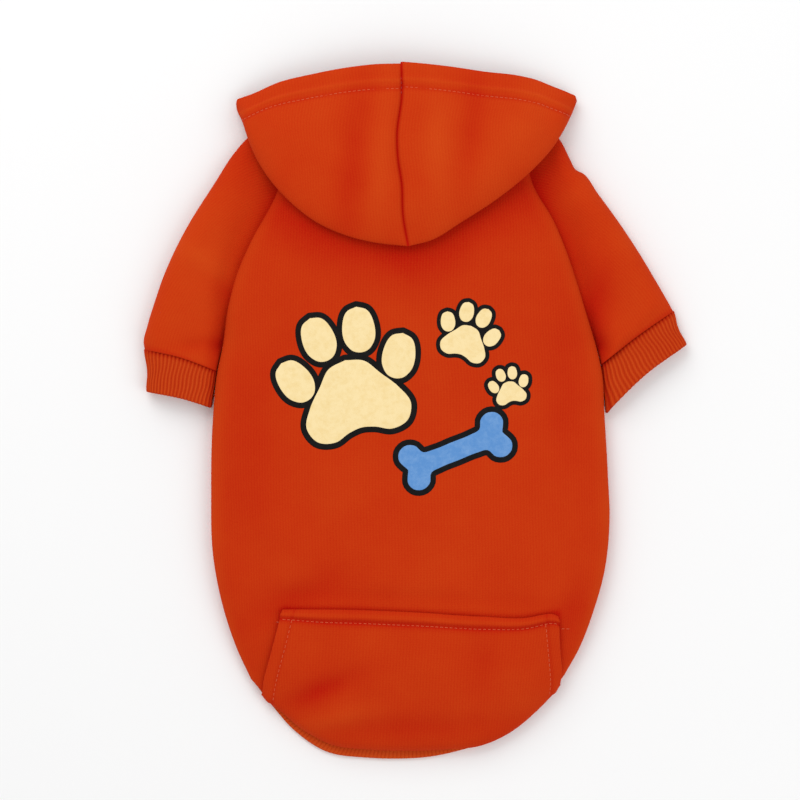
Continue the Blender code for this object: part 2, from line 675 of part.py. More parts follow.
def hood_ring(half, columns):
    """The lines round half the hood's under layer, from the tip to the corner and along the lip."""
    way = half["way"]
    corner = HOOD_CORNER_AT
    back = spaced(columns, 0.35) * corner
    back = np.concatenate([[0, 0.012, 0.03], back[back > 0.05]])
    t = np.concatenate([back, corner + (1 - corner) * np.linspace(0, 1, 7)[1:]])
    at_back = np.clip(t / corner, 0, 1)
    at_front = np.clip((t - corner) / (1 - corner), 0, 1)
    is_back = (t <= corner)[:, None]
    outer = np.where(
        is_back, smooth_line(place(half["fold"]), at_back), smooth_line(place(half["lip"]), at_front)
    )
    even = np.linspace(0, 1, 400)
    neck = smooth_line(place(NECK_BACK), even)
    middle = even[np.argmin(np.abs(neck[:, 0] - outer[0, 0]))]
    end = 0.0 if way < 0 else 1.0
    throat = smooth_line(place(NECK_THROAT), even)
    throat = throat - outward(throat, 1) * SEAM_GAP * 2
    hole = np.where(
        is_back,
        smooth_line(place(NECK_BACK), middle + (end - middle) * at_back),
        smooth_line(throat, end + (0.5 - end) * at_front),
    )
    outer[-1, 0] = hole[-1, 0]
    roll = np.interp(
        t, [0, corner * 0.8, corner, corner + 0.12, 1],
        [FLEECE + HOOD_FOLD_INSIDE, FLEECE + HOOD_FOLD_INSIDE, FLEECE + HOOD_CORNER_INSIDE, 0, 0],
    )
    return outer, hole, roll, at_back[: len(back)]


def hood_under_layer(tree, outer, hole, roll, rows):
    """Rows from the neck hole out to the fold, laid on the cloth below, then up the fold's roll."""
    inward = hole - outer
    span = np.linalg.norm(inward, axis=1)
    inward = inward / span[:, None]
    reach = np.minimum(np.maximum(roll, 2 * MM), span * 0.45)[:, None]
    shares = np.linspace(0, 1, rows)[:, None, None]
    plan = hole * (1 - shares) + (outer + inward * reach) * shares
    rest = resting_height(tree, plan.reshape(-1, 2), HOOD_CLEARANCE).reshape(plan.shape[:2])
    rest = np.where(rest > 0, rest + SEAM_GAP * 1.5, 0.0)
    height = rest.copy()
    for _ in range(4):
        padded = np.pad(height, 1, mode="edge")
        mean = (padded[2:, 1:-1] + padded[:-2, 1:-1] + padded[1:-1, 2:] + padded[1:-1, :-2]) / 4
        height = np.maximum(mean, rest)
    layers = [np.concatenate([plan, height[..., None]], -1)]
    for turn in np.radians((35, 65, 90)):
        row = outer + inward * reach * (1 - np.sin(turn))
        layers.append(np.column_stack([row, height[-1] + roll * (1 - np.cos(turn))])[None])
    return np.vstack(layers)


def hood_top_layer(half, s, rim, roll):
    """Rows from the fold's widest line, at heights rim, over to the hood's edge."""
    w = np.array([0.012, 0.04, 0.10, 0.20, 0.34, 0.50, 0.65, 0.77, 0.845, 0.90, 0.955, 1.0])
    s, w = np.meshgrid(s, w, indexing="xy")
    corner = place(half["fold"])[-1]

    def line(key):
        return lambda share: smooth_line(place(half[key]), share)

    plan = fill(
        line("fold"), line("edge"), lambda share: smooth_line(place(HOOD_SEAM), share),
        lambda share: np.broadcast_to(corner, np.shape(share) + (2,)), s, w,
    )
    fades = np.clip(1 - s**6, 0, 1)
    rounding = np.sqrt(np.clip(1 - (1 - w) ** 10, 0, 1))
    edge = np.where(s < 1, read(HOOD_EDGE_RISE, s) * BODY_LOFT, rim[-1])
    level = (rim + roll * (s < 1)) * (1 - w) + edge * w
    puff = HOOD_PUFF * 4 * w * (1 - w) * np.clip(1 - s**3, 0, 1)
    height = rim + (level + puff - rim) * rounding
    to_edge = (1 - w) * np.linalg.norm(line("edge")(s) - line("fold")(s), axis=-1)
    hem = np.exp(-(((to_edge - 0.55 * HOOD_HEM_WIDTH) / (0.30 * HOOD_HEM_WIDTH)) ** 2))
    from_seam = np.abs(plan[..., 0] - smooth_line(place(HOOD_SEAM), w)[..., 0])
    height += HOOD_HEM_EXTRA * fades * hem
    height -= HOOD_SEAM_DIP * rounding * np.exp(-((from_seam / HOOD_SEAM_WIDTH) ** 2))
    height += fold_heights(HOOD_FOLDS, plan) * fades * rounding * (1 - w**6)
    return np.concatenate([plan, height[..., None]], -1)


def hood_half_surface(tree, half, columns, rows):
    """The outer surface of half the hood, and which of its points lie on the centre seam."""
    outer, hole, roll, s = hood_ring(half, columns)
    under = hood_under_layer(tree, outer, hole, roll, rows)
    under_rows, ring = under.shape[:2]
    top = hood_top_layer(half, s, under[-1, : len(s), 2], roll[: len(s)])
    top[:, -1] = under[-1, len(s) - 1]
    base, last = under_rows * ring, (under_rows - 1) * ring
    faces = grid_faces(under_rows, ring).tolist()
    faces += [[last + i, last + i + 1, base + i + 1, base + i] for i in range(len(s) - 1)]
    faces += (grid_faces(len(top), len(s)) + base).tolist()
    if half["way"] < 0:
        faces = [face[::-1] for face in faces]
    seam = np.concatenate([
        np.arange(under_rows) * ring,
        np.arange(under_rows) * ring + ring - 1,
        base + np.arange(len(top)) * len(s),
    ])
    points = np.vstack([under.reshape(-1, 3), top.reshape(-1, 3)])
    points[seam, 0] += 0.5 * SEAM_GAP * half["way"]
    on_seam = np.zeros(len(points), bool)
    on_seam[seam] = True
    return points, faces, on_seam


def joined(surfaces):
    """Several surfaces as one list of points and one of faces."""
    points, faces, offset = [], [], 0
    for some_points, some_faces in surfaces:
        points.append(some_points)
        faces += [[corner + offset for corner in face] for face in some_faces]
        offset += len(some_points)
    return np.vstack(points), faces


def main():
    for old in list(bpy.data.objects):
        bpy.data.objects.remove(old)
    cloth = make_material("brushed_fleece", CLOTH_ORANGE, 0.85)
    rib = make_material("rib_knit", RIB_ORANGE, 0.88)

    back = back_panel_surface(columns=29, rows=25, lip_rows=2)
    add_piece("back_panel", *cloth_wall(*back, FLEECE), cloth)
    points, faces, wall = pocket_surface(columns=25, rows=6)
    add_piece("pocket", *cloth_wall(points, faces, wall), cloth)
    add_piece("belly_panel", *flat_wall(belly_panel_outline(), FLEECE), cloth)
    add_piece("hem_band", *hem_band_wall(56), rib)

    below = [back]
    for name, sleeve in (("left", SLEEVE_LEFT), ("right", SLEEVE_RIGHT)):
        surface = sleeve_surface(sleeve, around=24, rings=12)
        below.append(surface)
        add_piece(f"sleeve_{name}", *cloth_wall(*surface, FLEECE), cloth)
        add_piece(f"cuff_{name}", *cloth_wall(*cuff_surface(sleeve, rings=2), RIB_KNIT), rib)

    points, faces = joined(below)
    tree = BVHTree.FromPolygons([Vector(point) for point in points], faces)
    for name, half in (("left", HOOD_LEFT), ("right", HOOD_RIGHT)):
        points, faces, seam = hood_half_surface(tree, half, columns=13, rows=4)
        add_piece(f"hood_{name}", *cloth_wall(points, faces, FLEECE, seam), cloth)


main()
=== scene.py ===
"""Looks of a dog hoodie lying flat on its belly side, hood folded back over the back.

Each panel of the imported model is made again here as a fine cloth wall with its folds, hems,
ribs and stitching. X runs across the garment, +Y from the hem to the hood and +Z up.
In the tables, across is a share of CHEST_WIDTH from the middle line, and along a share of
BACK_LENGTH from the lowest point of the hem.
"""

from functools import cache

import bpy
import numpy as np
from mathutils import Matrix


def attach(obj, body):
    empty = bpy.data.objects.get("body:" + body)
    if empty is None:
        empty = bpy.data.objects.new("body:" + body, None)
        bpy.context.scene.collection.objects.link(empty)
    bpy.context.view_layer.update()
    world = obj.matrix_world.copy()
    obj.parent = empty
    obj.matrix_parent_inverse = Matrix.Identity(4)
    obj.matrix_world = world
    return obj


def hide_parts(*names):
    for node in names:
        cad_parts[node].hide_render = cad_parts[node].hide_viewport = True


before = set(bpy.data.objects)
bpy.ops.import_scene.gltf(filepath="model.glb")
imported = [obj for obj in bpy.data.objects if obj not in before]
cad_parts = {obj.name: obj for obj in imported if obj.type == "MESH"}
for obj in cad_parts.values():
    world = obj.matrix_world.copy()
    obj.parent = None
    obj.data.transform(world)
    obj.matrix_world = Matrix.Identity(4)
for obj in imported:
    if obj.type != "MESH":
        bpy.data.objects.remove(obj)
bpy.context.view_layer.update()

MM = 0.001

# Sizes
BACK_LENGTH = 330 * MM  # from the hem to the back neckline
CHEST_WIDTH = 219 * MM  # laid flat
FLEECE = 2.0 * MM
PRESSED_FLEECE = FLEECE - 0.2 * MM  # the belly panel's, under the garment's weight
RIB_KNIT = 2.2 * MM
POCKET_CLOTH = 1.7 * MM
SEAM_GAP = 0.3 * MM  # between sewn pieces
POCKET_GAP = 0.55 * MM  # between the pocket and the back
BODY_LOFT = 22 * MM  # how high the lying body is
SLEEVE_LOFT = 14.5 * MM
CUFF_LOFT = 10.5 * MM
ARMHOLE_HEIGHT = 8 * MM  # of the back panel's edge beside the sleeves
HOOD_PUFF = 6.5 * MM  # how far the top layer swells between its fold and its edge
HOOD_FOLD_INSIDE = 2.2 * MM  # radius inside the fold
HOOD_CORNER_INSIDE = 1.0 * MM
HOOD_HEM_WIDTH = 13.5 * MM
HOOD_HEM_EXTRA = 1.2 * MM  # the folded hem is this much thicker
HOOD_RIDGE_IN = 8.7 * MM  # from the hood's edge to the ridge of its hem
HOOD_SEAM_DIP = 1.6 * MM  # the groove at the centre seam
HOOD_SEAM_WIDTH = 3.2 * MM
HOOD_CLEARANCE = 5 * MM  # the under layer stays clear of cloth this near
SIDE_RISE = 4.8 * MM  # from the cloth below up to the body's widest line
HEM_RISE = 3.0 * MM
SIDE_TUCK = 3.5 * MM  # how far the side turns under
SLEEVE_SIDE = 4.2 * MM  # height of a sleeve's folded sides
SLEEVE_TUCK = 2.2 * MM  # how far the sleeve goes in under the back panel's edge
SLEEVE_SINK = 2.4 * MM  # how much lower it lies there
SLEEVE_ROLL = 15 * MM  # how far in from its sides the sleeve rounds off
CUFF_STEP = 0.8 * MM  # how much fuller the sleeve is than its cuff
CUFF_LENGTH = 22 * MM
HEM_BAND_WIDTH = 20 * MM
HEM_BAND_SHOW = 4.6 * MM  # what shows of the band past the cloth
HEM_BAND_HIDE = 1.2 * MM  # how far in it sits where it doesn't show
BELLY_HEM_BOW = 6.6 * MM  # how far the belly hem bows up in the middle
BELLY_INSET = 1 * MM  # how far in the belly panel's sides lie
RIB_PITCH = 2.2 * MM
RIB_DEPTH = 0.42 * MM
POCKET_PUFF = 1.4 * MM
POCKET_HEM_RISE = 0.9 * MM  # how far its welt stands up
POCKET_WELT_TO = 0.078  # share of the pocket's height
POCKET_MARGIN = 0.038  # share of the pocket's width that is turned under at each side
ROW_PAST_WELT = 0.008  # from the welt's end to its stitch row, as a share of the height
ROW_PAST_MARGIN = 0.003  # from the turned side to its stitch row, as a share of the width

ORIGIN_ALONG = 0.579  # the table's along value at the frame's origin

# Cloth outlines: columns across, along
SIDE_LEFT = (
    (-0.411, 0.132), (-0.446, 0.182), (-0.481, 0.252), (-0.506, 0.337),
    (-0.511, 0.445), (-0.507, 0.562), (-0.496, 0.642), (-0.482, 0.687),
    (-0.466, 0.757), (-0.441, 0.815), (-0.411, 0.860), (-0.343, 0.947),
    (-0.322, 1.003), (-0.315, 1.058),
)
SIDE_RIGHT = (
    (0.376, 0.138), (0.413, 0.182), (0.451, 0.248), (0.476, 0.308),
    (0.490, 0.395), (0.486, 0.470), (0.477, 0.575), (0.471, 0.642),
    (0.456, 0.687), (0.433, 0.737), (0.411, 0.785), (0.381, 0.845),
    (0.351, 0.893), (0.293, 0.963), (0.280, 1.012), (0.278, 1.058),
)
HEM_LINE = (
    (-0.411, 0.132), (-0.379, 0.106), (-0.328, 0.072), (-0.283, 0.049),
    (-0.210, 0.022), (-0.122, 0.014), (-0.021, 0.012), (0.079, 0.014),
    (0.165, 0.020), (0.246, 0.044), (0.308, 0.079), (0.347, 0.112),
    (0.376, 0.138),
)
NECK_BACK = (
    (-0.315, 1.058), (-0.255, 1.036), (-0.185, 1.018), (-0.021, 1.005),
    (0.130, 1.018), (0.215, 1.036), (0.278, 1.058),
)
NECK_THROAT = (
    (-0.315, 1.058), (-0.185, 1.073), (-0.021, 1.078), (0.142, 1.073), (0.278, 1.058),
)
ARMPIT_ALONG = 0.687
BELLY_HEM_ALONG = 0.278  # the hidden belly hem's ends

# Height of the back along its length, as a share of BODY_LOFT
CROWN = ((0.0, 0.50), (0.12, 0.74), (0.30, 0.93), (0.55, 1.0), (0.80, 1.0), (1.0, 0.80))

# Sleeves: way is the side of the body. The outline runs along the top from the neck to the cuff,
# and each end of the cuff from its outer point to its inner one
SLEEVE_LEFT = {
    "way": -1,
    "side": SIDE_LEFT,
    "outline": (
        (-0.315, 1.058), (-0.371, 1.057), (-0.418, 1.035), (-0.454, 1.008),
        (-0.501, 0.960), (-0.578, 0.878), (-0.627, 0.810), (-0.655, 0.757),
        (-0.672, 0.720), (-0.681, 0.692), (-0.678, 0.681),
    ),
    "cuff_start": ((-0.678, 0.681), (-0.590, 0.668), (-0.501, 0.645)),
    "cuff_end": ((-0.672, 0.612), (-0.590, 0.602), (-0.509, 0.586)),
    "cuff_rise": 1.18,
    "rib_lean": 1.5,  # rib pitches that its ribs lean outwards
}
SLEEVE_RIGHT = {
    "way": 1,
    "side": SIDE_RIGHT,
    "outline": (
        (0.278, 1.058), (0.330, 1.055), (0.364, 1.032), (0.391, 0.998), (0.405, 0.981),
        (0.421, 0.976), (0.461, 0.941), (0.499, 0.907), (0.562, 0.845),
        (0.609, 0.793), (0.642, 0.755), (0.650, 0.745),
    ),
    "cuff_start": ((0.650, 0.745), (0.566, 0.706), (0.472, 0.656)),
    "cuff_end": ((0.682, 0.690), (0.590, 0.647), (0.478, 0.577)),
    "cuff_rise": 1.0,
    "rib_lean": 3.2,
}
CUFF_FULLNESS = 3.0  # power of the rounded section

# Height of a sleeve from the seam to the cuff, as a share of SLEEVE_LOFT
SLEEVE_RISE = ((0.0, 0.60), (0.14, 0.72), (0.42, 0.98), (0.68, 1.0), (0.90, 0.93))

# Hood outlines, each from the middle to the corner, and the lip back from the corner
HOOD_LEFT = {
    "way": -1,
    "fold": (
        (-0.016, 0.852), (-0.089, 0.857), (-0.172, 0.870), (-0.248, 0.893),
        (-0.310, 0.925), (-0.361, 0.962), (-0.396, 0.998), (-0.418, 1.032),
        (-0.434, 1.063), (-0.4465, 1.081), (-0.449, 1.091),
    ),
    "edge": (
        (-0.033, 1.1555), (-0.097, 1.1545), (-0.160, 1.150), (-0.260, 1.138),
        (-0.342, 1.125), (-0.408, 1.1065), (-0.436, 1.100), (-0.4465, 1.097), (-0.449, 1.091),
    ),
    "lip": ((-0.449, 1.091), (-0.361, 1.100), (-0.185, 1.099), (-0.021, 1.098)),
}
HOOD_RIGHT = {
    "way": 1,
    "fold": (
        (-0.016, 0.852), (0.042, 0.862), (0.117, 0.892), (0.205, 0.930),
        (0.293, 0.978), (0.343, 1.014), (0.376, 1.048), (0.396, 1.075), (0.4085, 1.096),
    ),
    "edge": (
        (-0.033, 1.1585), (0.008, 1.1565), (0.092, 1.1505), (0.176, 1.1425), (0.259, 1.1365),
        (0.301, 1.1305), (0.343, 1.120), (0.390, 1.1075), (0.4055, 1.102), (0.4085, 1.096),
    ),
    "lip": ((0.4085, 1.096), (0.318, 1.102), (0.142, 1.099), (-0.021, 1.098)),
}
# The centre seam from the fold. Each half's goes on to its own edge's first point
HOOD_SEAM = (
    (-0.016, 0.852), (-0.029, 0.903), (-0.032, 0.953), (-0.042, 1.000),
    (-0.044, 1.035), (-0.032, 1.103),
)
HOOD_CORNER_AT = 0.66  # share of the way round the under layer at which the corner comes

# Height of the hood's edge from the seam to the corner, as a share of BODY_LOFT
HOOD_EDGE_RISE = ((0.0, 0.80), (0.35, 0.72), (0.75, 0.52), (0.92, 0.36), (1.0, 0.25))

POCKET_TOP = (
    (-0.328, 0.247), (-0.16, 0.247), (0.0, 0.243), (0.17, 0.236),
    (0.28, 0.234), (0.33, 0.240), (0.357, 0.242),
)
POCKET_FOOT = (0.052, 0.972)  # where its sides meet the hem, as shares of the hem's length
POCKET_TURN = 0.30  # how far it goes round the hem's quarter turn

# Where along the body's rim the hem band shows, and for how far each way, as shares of its length
BAND_SHOWS_AT = 0.42
BAND_SHOWS_FOR = 0.20

# Soft dents and swells of the top cloth. Columns: across, along, turn in degrees from X,
# half length and half width as shares of CHEST_WIDTH, rise as a share of BODY_LOFT
BODY_FOLDS = (
    (-0.31, 0.262, 24, 0.15, 0.045, -0.07),
    (0.39, 0.235, 70, 0.11, 0.035, -0.06),
    (0.00, 0.268, -2, 0.36, 0.022, -0.025),
    (-0.40, 0.560, 80, 0.22, 0.070, -0.05),
    (0.38, 0.600, 98, 0.22, 0.070, -0.05),
)
POCKET_FOLDS = (
    (-0.230, 0.117, 22, 0.100, 0.030, -0.060),
    (-0.210, 0.066, 14, 0.100, 0.026, 0.035),
    (0.17, 0.160, 80, 0.080, 0.040, -0.020),
    (0.02, 0.055, 2, 0.260, 0.030, -0.030),
)
SLEEVE_FOLDS = (
    (-0.475, 0.780, -30, 0.060, 0.028, -0.022),
    (-0.530, 0.830, -30, 0.090, 0.035, 0.035),
    (-0.545, 0.690, 8, 0.080, 0.018, -0.025),
    (0.460, 0.765, 82, 0.150, 0.045, -0.065),
    (0.400, 0.860, -62, 0.110, 0.070, -0.035),
    (0.330, 0.965, 76, 0.090, 0.034, -0.025),
    (0.405, 0.945, 50, 0.060, 0.025, 0.015),
    (0.500, 0.850, 40, 0.120, 0.040, 0.025),
)
HOOD_FOLDS = (
    (-0.155, 0.975, 84, 0.230, 0.040, -0.040),
    (-0.085, 1.010, 86, 0.200, 0.034, 0.030),
    (0.060, 1.010, 92, 0.180, 0.038, 0.036),
    (0.145, 1.060, 84, 0.130, 0.032, -0.038),
    (0.250, 1.040, 60, 0.160, 0.060, 0.030),
)


# Lines and plans


def place(points):
    """Table rows of across and along as X and Y in metres."""
    points = np.asarray(points, float)
    return np.stack([points[..., 0] * CHEST_WIDTH, (points[..., 1] - ORIGIN_ALONG) * BACK_LENGTH], -1)


def smooth_line(points, share):
    """A cubic line through points, read at shares 0 to 1 of its length."""
    points = np.asarray(points, float)
    steps = np.linalg.norm(np.diff(points, axis=0), axis=1)
    knots = np.concatenate([[0.0], np.cumsum(steps)]) / steps.sum()
    slopes = np.gradient(points, knots, axis=0)
    share = np.clip(np.asarray(share, float), 0, 1)
    span = np.clip(np.searchsorted(knots, share, side="right") - 1, 0, len(knots) - 2)
    width = (knots[span + 1] - knots[span])[..., None]
    t = (share - knots[span])[..., None] / width
    start = (1 + 2 * t) * (1 - t) ** 2 * points[span] + t * (1 - t) ** 2 * slopes[span] * width
    end = t * t * (3 - 2 * t) * points[span + 1] - t * t * (1 - t) * slopes[span + 1] * width
    return start + end


def read(table, at):
    """A table of shares and values, read as a cubic line between its rows."""
    table = np.asarray(table, float)
    at = np.clip(at, table[0, 0], table[-1, 0])
    shares, values = table.T
    span = np.clip(np.searchsorted(shares, at, side="right") - 1, 0, len(shares) - 2)
    t = (at - shares[span]) / (shares[span + 1] - shares[span])
    slopes = np.gradient(values, shares)
    width = shares[span + 1] - shares[span]
    start = (1 + 2 * t) * (1 - t) ** 2 * values[span] + t * (1 - t) ** 2 * slopes[span] * width
    return start + t * t * (3 - 2 * t) * values[span + 1] - t * t * (1 - t) * slopes[span + 1] * width


def eased(t):
    """0 to 1 with level ends: 3t² less 2t³ of t held between 0 and 1."""
    t = np.clip(t, 0, 1)
    return t * t * (3 - 2 * t)


def bell(away, width):
    """1 where away is 0, fading to both sides: e to the power of less the square of away / width."""
    return np.exp(-((away / width) ** 2))


def rounded(s, power):
    """A rounded section: the root of 1 less a power of the way from the middle of s to its ends."""
    return np.sqrt(np.clip(1 - np.abs(2 * s - 1) ** power, 0, 1))


def share_at(points, along):
    """The share of a line's length at which it passes an along value."""
    shares = np.linspace(0, 1, 800)
    line = smooth_line(place(points), shares)[:, 1]
    return float(shares[np.argmin(np.abs(line - (along - ORIGIN_ALONG) * BACK_LENGTH))])


def outward(line, side):
    """Plan normals of a line given as points; side is +1 or -1 for its right or left."""
    along = np.gradient(line, axis=0)
    along /= np.linalg.norm(along, axis=-1, keepdims=True)
    return np.stack([along[..., 1], -along[..., 0]], -1) * side


def away_from(plan, line):
    """Distances of plan points from a line of points: each to the nearest place on its steps."""
    step = np.diff(line, axis=0)
    offset = plan[..., None, :] - line[:-1]
    t = np.clip((offset * step).sum(-1) / (step**2).sum(-1), 0, 1)
    return np.linalg.norm(offset - t[..., None] * step, axis=-1).min(-1)


def fill(first, last, start, end, s, w):
    """A plan surface inside four lines: the two blends of facing lines, less the blend of corners."""
    s_part, w_part = s[..., None], w[..., None]
    sides = (1 - s_part) * start(w) + s_part * end(w)
    ends = (1 - w_part) * first(s) + w_part * last(s)
    zero, one = np.zeros(1), np.ones(1)
    corners = (1 - w_part) * ((1 - s_part) * first(zero) + s_part * first(one))
    corners = corners + w_part * ((1 - s_part) * last(zero) + s_part * last(one))
    return sides + ends - corners


def unfolded(plan, s, w, rounds=160):
    """A plan grid whose inner points are each moved to the mean of their four neighbours, weighted
    by their steps in s and w, for a set number of rounds, to smooth out where parts of it overlap."""
    before, after = np.diff(s)[:-1, None], np.diff(s)[1:, None]
    below, above = np.diff(w)[:-1, None, None], np.diff(w)[1:, None, None]
    across, along = 2 / (before + after), 2 / (below + above)
    total = across * (1 / before + 1 / after) + along * (1 / below + 1 / above)
    plan = plan.copy()
    for _ in range(rounds):
        sides = across * (plan[1:-1, :-2] / before + plan[1:-1, 2:] / after)
        ends = along * (plan[:-2, 1:-1] / below + plan[2:, 1:-1] / above)
        plan[1:-1, 1:-1] = (sides + ends) / total
    return plan


def fold_heights(table, plan):
    """Sum of soft ridges and dents: each is its rise times a bell across its length and width."""
    rise = np.zeros(plan.shape[:-1])
    for across, along, turn, half_length, half_width, height in table:
        local = (plan - place((across, along))) / CHEST_WIDTH
        angle = np.radians(turn)
        lengthwise = local[..., 0] * np.cos(angle) + local[..., 1] * np.sin(angle)
        widthwise = local[..., 1] * np.cos(angle) - local[..., 0] * np.sin(angle)
        rise += height * BODY_LOFT * bell(lengthwise, half_length) * bell(widthwise, half_width)
    return rise


def ripple(plan, wavelength, height, seed):
    """Slack in the cloth: the mean of nine sine waves of about one length, in turned directions."""
    chance = np.random.default_rng(seed)
    total = np.zeros(plan.shape[:-1])
    for turn, stretch, start in chance.uniform(0, 1, (9, 3)):
        angle = 2 * np.pi * turn
        along = plan[..., 0] * np.cos(angle) + plan[..., 1] * np.sin(angle)
        total += np.sin(2 * np.pi * along / (wavelength * (0.7 + 0.7 * stretch)) + 7 * start)
    return total * height / 3


def spaced(count, power=1.0):
    """Shares 0 to 1 that crowd at both ends, as the cosine of even steps does."""
    even = np.linspace(0, 1, count)
    return (1 - power) * even + power * (1 - np.cos(np.pi * even)) / 2


# Meshes


def facing_out(faces, way):
    """Quads of a left or right piece, turned over on the left so that they face outwards."""
    return faces if way > 0 else faces[:, ::-1]


def grid_faces(rows, columns):
    """Quads of a grid of points numbered row by row."""
    r, c = np.meshgrid(np.arange(rows - 1), np.arange(columns - 1), indexing="ij")
    corner = r * columns + c
    return np.stack([corner, corner + 1, corner + columns + 1, corner + columns], -1).reshape(-1, 4)


def cloth_lengths(grid, middle=0):
    """A flat pattern of a grid of points: lengths along its rows from the middle column, and along
    its columns from the first row, in metres."""
    rows = np.cumsum(np.linalg.norm(np.diff(grid, axis=1, prepend=grid[:, :1]), axis=-1), axis=1)
    columns = np.cumsum(np.linalg.norm(np.diff(grid, axis=0, prepend=grid[:1]), axis=-1), axis=0)
    return np.stack([rows - rows[:, middle : middle + 1], columns], -1).reshape(-1, 2)


def point_normals(points, faces):
    """Unit normals of the points: the sum of the area vectors of the faces round each."""
    normals = np.zeros_like(points)
    for a, b, c in ((0, 1, 2), (0, 2, 3)):
        corners = faces[:, [a, b, c]]
        area = np.cross(
            points[corners[:, 1]] - points[corners[:, 0]], points[corners[:, 2]] - points[corners[:, 0]]
        )
        np.add.at(normals, corners, area[:, None])
    return normals / np.maximum(np.linalg.norm(normals, axis=1, keepdims=True), 1e-12)


RIM_TURNS = (50, 0, -50)  # degrees round a rim's half circle at which it has a row of points
RIM_STEP = 0.6 * MM  # how far the knit's pattern goes on over each strip of a rim
SAME_PLACE = 0.001 * MM  # points this near are one
BAND_GRAIN = 0.01 * MM


def welded(points, grain=SAME_PLACE):
    """Which points to keep where several lie in one place, and each point's number among them."""
    keys = np.round(points / grain).astype(int)
    _, first, index = np.unique(keys, axis=0, return_index=True, return_inverse=True)
    return first, index.reshape(-1)


def cloth_wall(points, faces, pattern, painted_light, thickness, bulge, seam=None, normals=None):
    """A closed wall of cloth: the outer surface, the same moved inwards by its thickness, and rims
    that follow half circles between the two. bulge flattens the rims' half circles, and points
    marked in seam move in the plane of the centre seam only. Normals are worked out where none
    are given. Returns points, quads, the pattern's place of each quad's corners, and the points'
    painted light and shade, which is none on the inner surface."""
    thickness = np.broadcast_to(thickness, len(points))
    first, index = welded(points)
    laid, faces, corner_pattern = points[first], index[faces], pattern[faces]
    normals = point_normals(laid, faces) if normals is None else normals[first]
    if seam is not None:
        normals[seam[first], 0] = 0
        normals /= np.linalg.norm(normals, axis=1, keepdims=True)
    wall = thickness[first][:, None]
    inner = laid - normals * wall
    count = len(laid)
    a = faces.reshape(-1)
    b = np.roll(faces, -1, axis=1).reshape(-1)
    rim = ~np.isin(b * count + a, a * count + b) & (a != b)
    a, b = a[rim], b[rim]
    tangents = np.zeros_like(laid)
    step = laid[b] - laid[a]
    step /= np.linalg.norm(step, axis=1, keepdims=True)
    np.add.at(tangents, a, step)
    np.add.at(tangents, b, step)
    rim_points = np.unique(a)
    number = np.zeros(count, int)
    number[rim_points] = np.arange(len(rim_points))
    out = np.cross(tangents[rim_points], normals[rim_points])
    out /= np.maximum(np.linalg.norm(out, axis=1, keepdims=True), 1e-12)
    centre = (laid[rim_points] + inner[rim_points]) / 2
    half = wall[rim_points] / 2
    arcs = [
        centre + half * (np.cos(turn) * out * bulge + np.sin(turn) * normals[rim_points])
        for turn in np.radians(RIM_TURNS)
    ]
    # Rim points' numbers on the outer surface, on each arc and on the inner surface
    levels_a, levels_b = (
        [i, *(2 * count + k * len(rim_points) + number[i] for k in range(len(arcs))), i + count]
        for i in (a, b)
    )
    strips = range(len(arcs) + 1)
    rims = [
        np.stack([levels_b[k], levels_a[k], levels_a[k + 1], levels_b[k + 1]], -1) for k in strips
    ]
    flat = pattern[first]
    rim_pattern = np.tile(np.stack([flat[b], flat[a], flat[a], flat[b]], 1), (len(rims), 1, 1))
    rim_pattern[:, 2:, 1] += RIM_STEP
    quads = np.vstack([faces, faces[:, ::-1] + count] + rims)
    quad_pattern = np.vstack([corner_pattern, corner_pattern[:, ::-1], rim_pattern])
    painted_light = painted_light[first]
    painted_light = np.concatenate([painted_light, 0 * painted_light] + [painted_light[rim_points]] * len(arcs))
    return np.vstack([laid, inner] + arcs), quads, quad_pattern, painted_light


def add_piece(name, points, quads, pattern, painted_light, material, slot=None, replaces=None):
    """A mesh object from points, quads that may have two corners in one, pattern places and painted
    light, which is 1 for a painted highlight and -1 for painted shade deep in a crease."""
    keep = quads != np.roll(quads, -1, axis=1)
    whole = keep.sum(1) > 2
    keep, quads, pattern = keep[whole], quads[whole], pattern[whole]
    corners = keep.sum(1)
    mesh = bpy.data.meshes.new(name)
    mesh.vertices.add(len(points))
    mesh.vertices.foreach_set("co", points.astype(np.float32).ravel())
    mesh.loops.add(int(corners.sum()))
    mesh.loops.foreach_set("vertex_index", quads[keep].astype(np.int32))
    mesh.polygons.add(len(corners))
    mesh.polygons.foreach_set("loop_start", (np.cumsum(corners) - corners).astype(np.int32))
    mesh.polygons.foreach_set("loop_total", corners.astype(np.int32))
    mesh.uv_layers.new(name="pattern").data.foreach_set("uv", pattern[keep].astype(np.float32).ravel())
    # Painted light and shade as a point attribute, read by the cloth's colour ramp
    mesh.attributes.new("painted_light", "FLOAT", "POINT").data.foreach_set("value", painted_light.astype(np.float32))
    mesh.update(calc_edges=True)
    mesh.shade_smooth()
    mesh.materials.append(material)
    piece = bpy.data.objects.new(name, mesh)
    bpy.context.scene.collection.objects.link(piece)
    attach(piece, "root")
    if replaces:
        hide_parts(replaces)


# Body


def armpit_share():
    """The armpits' place along the sides, as a share of their length."""
    return (share_at(SIDE_LEFT, ARMPIT_ALONG) + share_at(SIDE_RIGHT, ARMPIT_ALONG)) / 2


def side_heights(w):
    """For shares along a side: the widest line's height, the edge's height and its tuck."""
    above = eased((w - armpit_share()) / 0.10)
    towards_hem = np.clip(1 - w / 0.15, 0, 1)
    low_edge = max(RIB_KNIT, FLEECE) + SEAM_GAP
    low_side = max(RIB_KNIT, FLEECE) + SIDE_RISE + (HEM_RISE - SIDE_RISE) * towards_hem
    edge = low_edge + (ARMHOLE_HEIGHT - low_edge) * above
    side = low_side * (1 - above) + (ARMHOLE_HEIGHT + FLEECE) * above
    tuck = SIDE_TUCK * (1 - above) + SEAM_GAP * above
    return side, edge, tuck


